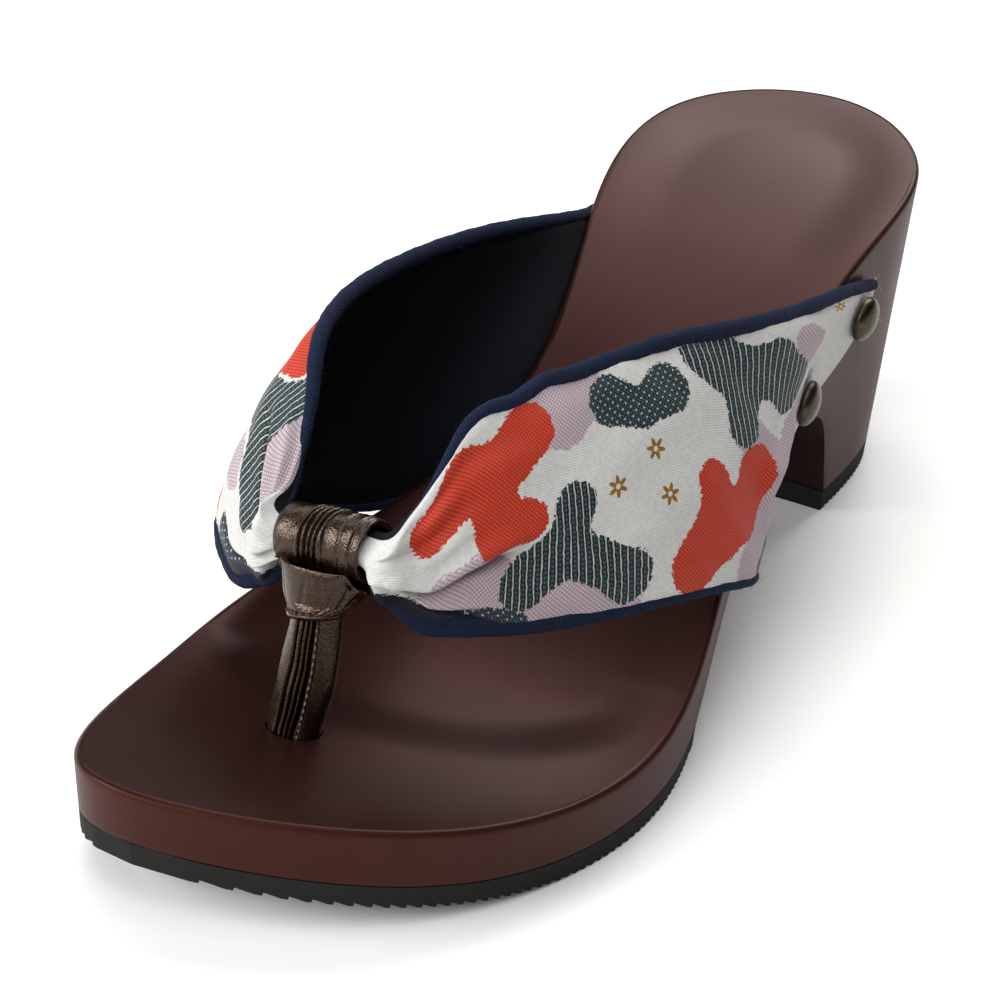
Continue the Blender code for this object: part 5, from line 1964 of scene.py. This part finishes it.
@dataclass
class Studs:
    """The domed studs that nail the strap's ends to the block."""

    block: Block
    places: tuple = (
        Stud("lateral_stud_1", LATERAL, 62.0, 54.4, "stud_lateral_1"),
        Stud("lateral_stud_2", LATERAL, 31.0, 49.4, "stud_lateral_2"),
        Stud("medial_stud_1", MEDIAL, 62.0, 54.4, "stud_medial_1"),
        Stud("medial_stud_2", MEDIAL, 33.5, 47.4, "stud_medial_2"),
    )
    radius: float = 4.8
    height: float = 3.0
    rim: float = 0.6
    rim_rounding: float = 0.22
    seat: float = 4.0

    def dress(self) -> None:
        """Model one stud from a ball cut in half, and copy it to its four places."""
        bpy.ops.object.select_all(action="DESELECT")
        bpy.ops.mesh.primitive_uv_sphere_add(segments=48, ring_count=32, radius=self.radius * MM)
        model = bpy.context.active_object
        edit(model)
        upright = Vector((0.0, 0.0, 1.0))
        bpy.ops.mesh.bisect(
            plane_co=(0.0, 0.0, 0.0), plane_no=upright, clear_inner=True, use_fill=True, threshold=1e-7
        )
        done()
        model.data.transform(Matrix.Diagonal((1.0, 1.0, (self.height - self.rim) / self.radius, 1.0)))
        edit(model, lambda vertex: vertex.co.z < 1e-6)
        bpy.ops.mesh.extrude_region_move(TRANSFORM_OT_translate={"value": -self.rim * MM * upright})
        done()
        limit = {"limit_method": "ANGLE", "angle_limit": math.radians(50.0)}
        modified(model, "BEVEL", width=self.rim_rounding * MM, segments=3, **limit)
        bpy.ops.object.shade_smooth_by_angle(angle=math.radians(40.0))
        for stud in self.places:
            seat, outward = self.seat_on(stud)
            turn = upright.rotation_difference(outward).to_matrix().to_4x4()
            piece = copied(model, Matrix.Translation((seat + outward * (self.seat + self.rim)) * MM) @ turn)
            piece.name = stud.name
            fit(piece, "antique_brass", AntiqueBrass(), stud.replaced)
        bpy.data.objects.remove(model, do_unlink=True)

    def seat_on(self, stud: Stud) -> tuple[Vector, Vector]:
        """Find a stud's seat on the side wall.

        Args:
            stud: The stud.

        Returns:
            The place on the wall under it, and the direction out of the wall there.
        """
        ys = stud.y + np.array([0.0, self.radius, -self.radius, 0.0, 0.0])
        zs = stud.z + np.array([0.0, 0.0, 0.0, self.radius, -self.radius])
        x = self.block.wall_x(stud.side, ys, zs)
        reach = 2.0 * self.radius
        outward = Vector((1.0, -(x[1] - x[2]) / reach, -(x[3] - x[4]) / reach)) * stud.side
        return Vector((x[0], stud.y, stud.z)), outward.normalized()


# The room


class Lamp(NamedTuple):
    """A soft box: its place and what it faces, its width and height, and its power."""

    name: str
    place: tuple
    size: tuple
    power: float


@dataclass
class Studio:
    """Pale paper floor, soft light and the camera.

    The camera's turn is a quaternion and its lens is in millimetres. The room's places are in metres. The
    sky lights the sandal with a strength from dome_low to dome_high, and is white where the camera sees it.
    """

    centre: tuple = (0.0, 0.0, 0.035)
    lamps: tuple = (
        Lamp("back_box", (0.0, 1.30, 1.12), (1.1, 0.8), 17.0),
        Lamp("back_left_box", (-1.15, 0.70, 1.10), (1.1, 0.8), 4.5),
        Lamp("high_box", (-0.35, 0.85, 1.70), (1.2, 0.8), 13.0),
        Lamp("front_box", (-0.20, -1.75, 1.10), (1.4, 0.8), 21.0),
        Lamp("left_box", (-1.40, -1.15, 0.85), (1.2, 0.9), 37.0),
        Lamp("top_box", (0.20, -0.50, 1.90), (1.6, 1.6), 16.0),
    )
    sky: str = "#fdfdfd"
    dome_low: float = 0.02
    dome_high: float = 0.08
    camera_place: tuple = (0.22798932, -0.52854537, 0.39435135)
    camera_turn: tuple = (0.850759, 0.473575, 0.087311, 0.210504)
    lens: float = 120.83

    def build(self) -> None:
        """Lay the floor, hang the lights and set the camera."""
        bpy.ops.object.select_all(action="DESELECT")
        bpy.ops.mesh.primitive_plane_add(size=6.0)
        floor = bpy.context.active_object
        floor.name = "paper_floor"
        floor.data.materials.append(PaperFloor().material())
        for lamp in self.lamps:
            light = bpy.data.lights.new(lamp.name, "AREA")
            light.shape = "RECTANGLE"
            light.size, light.size_y = lamp.size
            light.energy = lamp.power
            box = bpy.data.objects.new(lamp.name, light)
            place = Vector(lamp.place)
            turn = (place - Vector(self.centre)).to_track_quat("Z", "Y").to_matrix().to_4x4()
            box.matrix_world = Matrix.Translation(place) @ turn
            bpy.context.collection.objects.link(box)
        world = bpy.data.worlds.new("studio")
        bpy.context.scene.world = world
        world.use_nodes = True
        add = partial(add_node, world.node_tree)
        up = add("SeparateXYZ", {0: add("TexCoord")}).node.outputs[2]
        dome = add("MapRange", {0: up, 1: 0.2, 2: 0.9, 3: self.dome_low, 4: self.dome_high})
        seen = add("Mix", {0: add("LightPath"), 2: dome, 3: 1.0})
        feed(world.node_tree, world.node_tree.nodes["Background"], {"Color": self.sky, "Strength": seen})
        camera = bpy.data.cameras.new("camera")
        camera.lens = self.lens
        camera.clip_start = 0.01
        view = bpy.data.objects.new("camera", camera)
        view.rotation_mode = "QUATERNION"
        view.location = self.camera_place
        view.rotation_quaternion = self.camera_turn
        bpy.context.collection.objects.link(view)
        bpy.context.scene.camera = view
        bpy.context.scene.view_settings.view_transform = "Standard"


def main() -> None:
    """Build the sandal's sub-assemblies in order, then the room."""
    logging.basicConfig(level=logging.INFO, format="%(name)s %(message)s")
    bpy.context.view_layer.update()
    block = Block()
    strap = Strap(block)
    for part in (block, strap, Lint(strap), Band(), Collar(), Post(), Studs(block)):
        part.dress()
        log.info("%s is dressed", type(part).__name__)
    Studio().build()


if __name__ == "__main__":
    main()
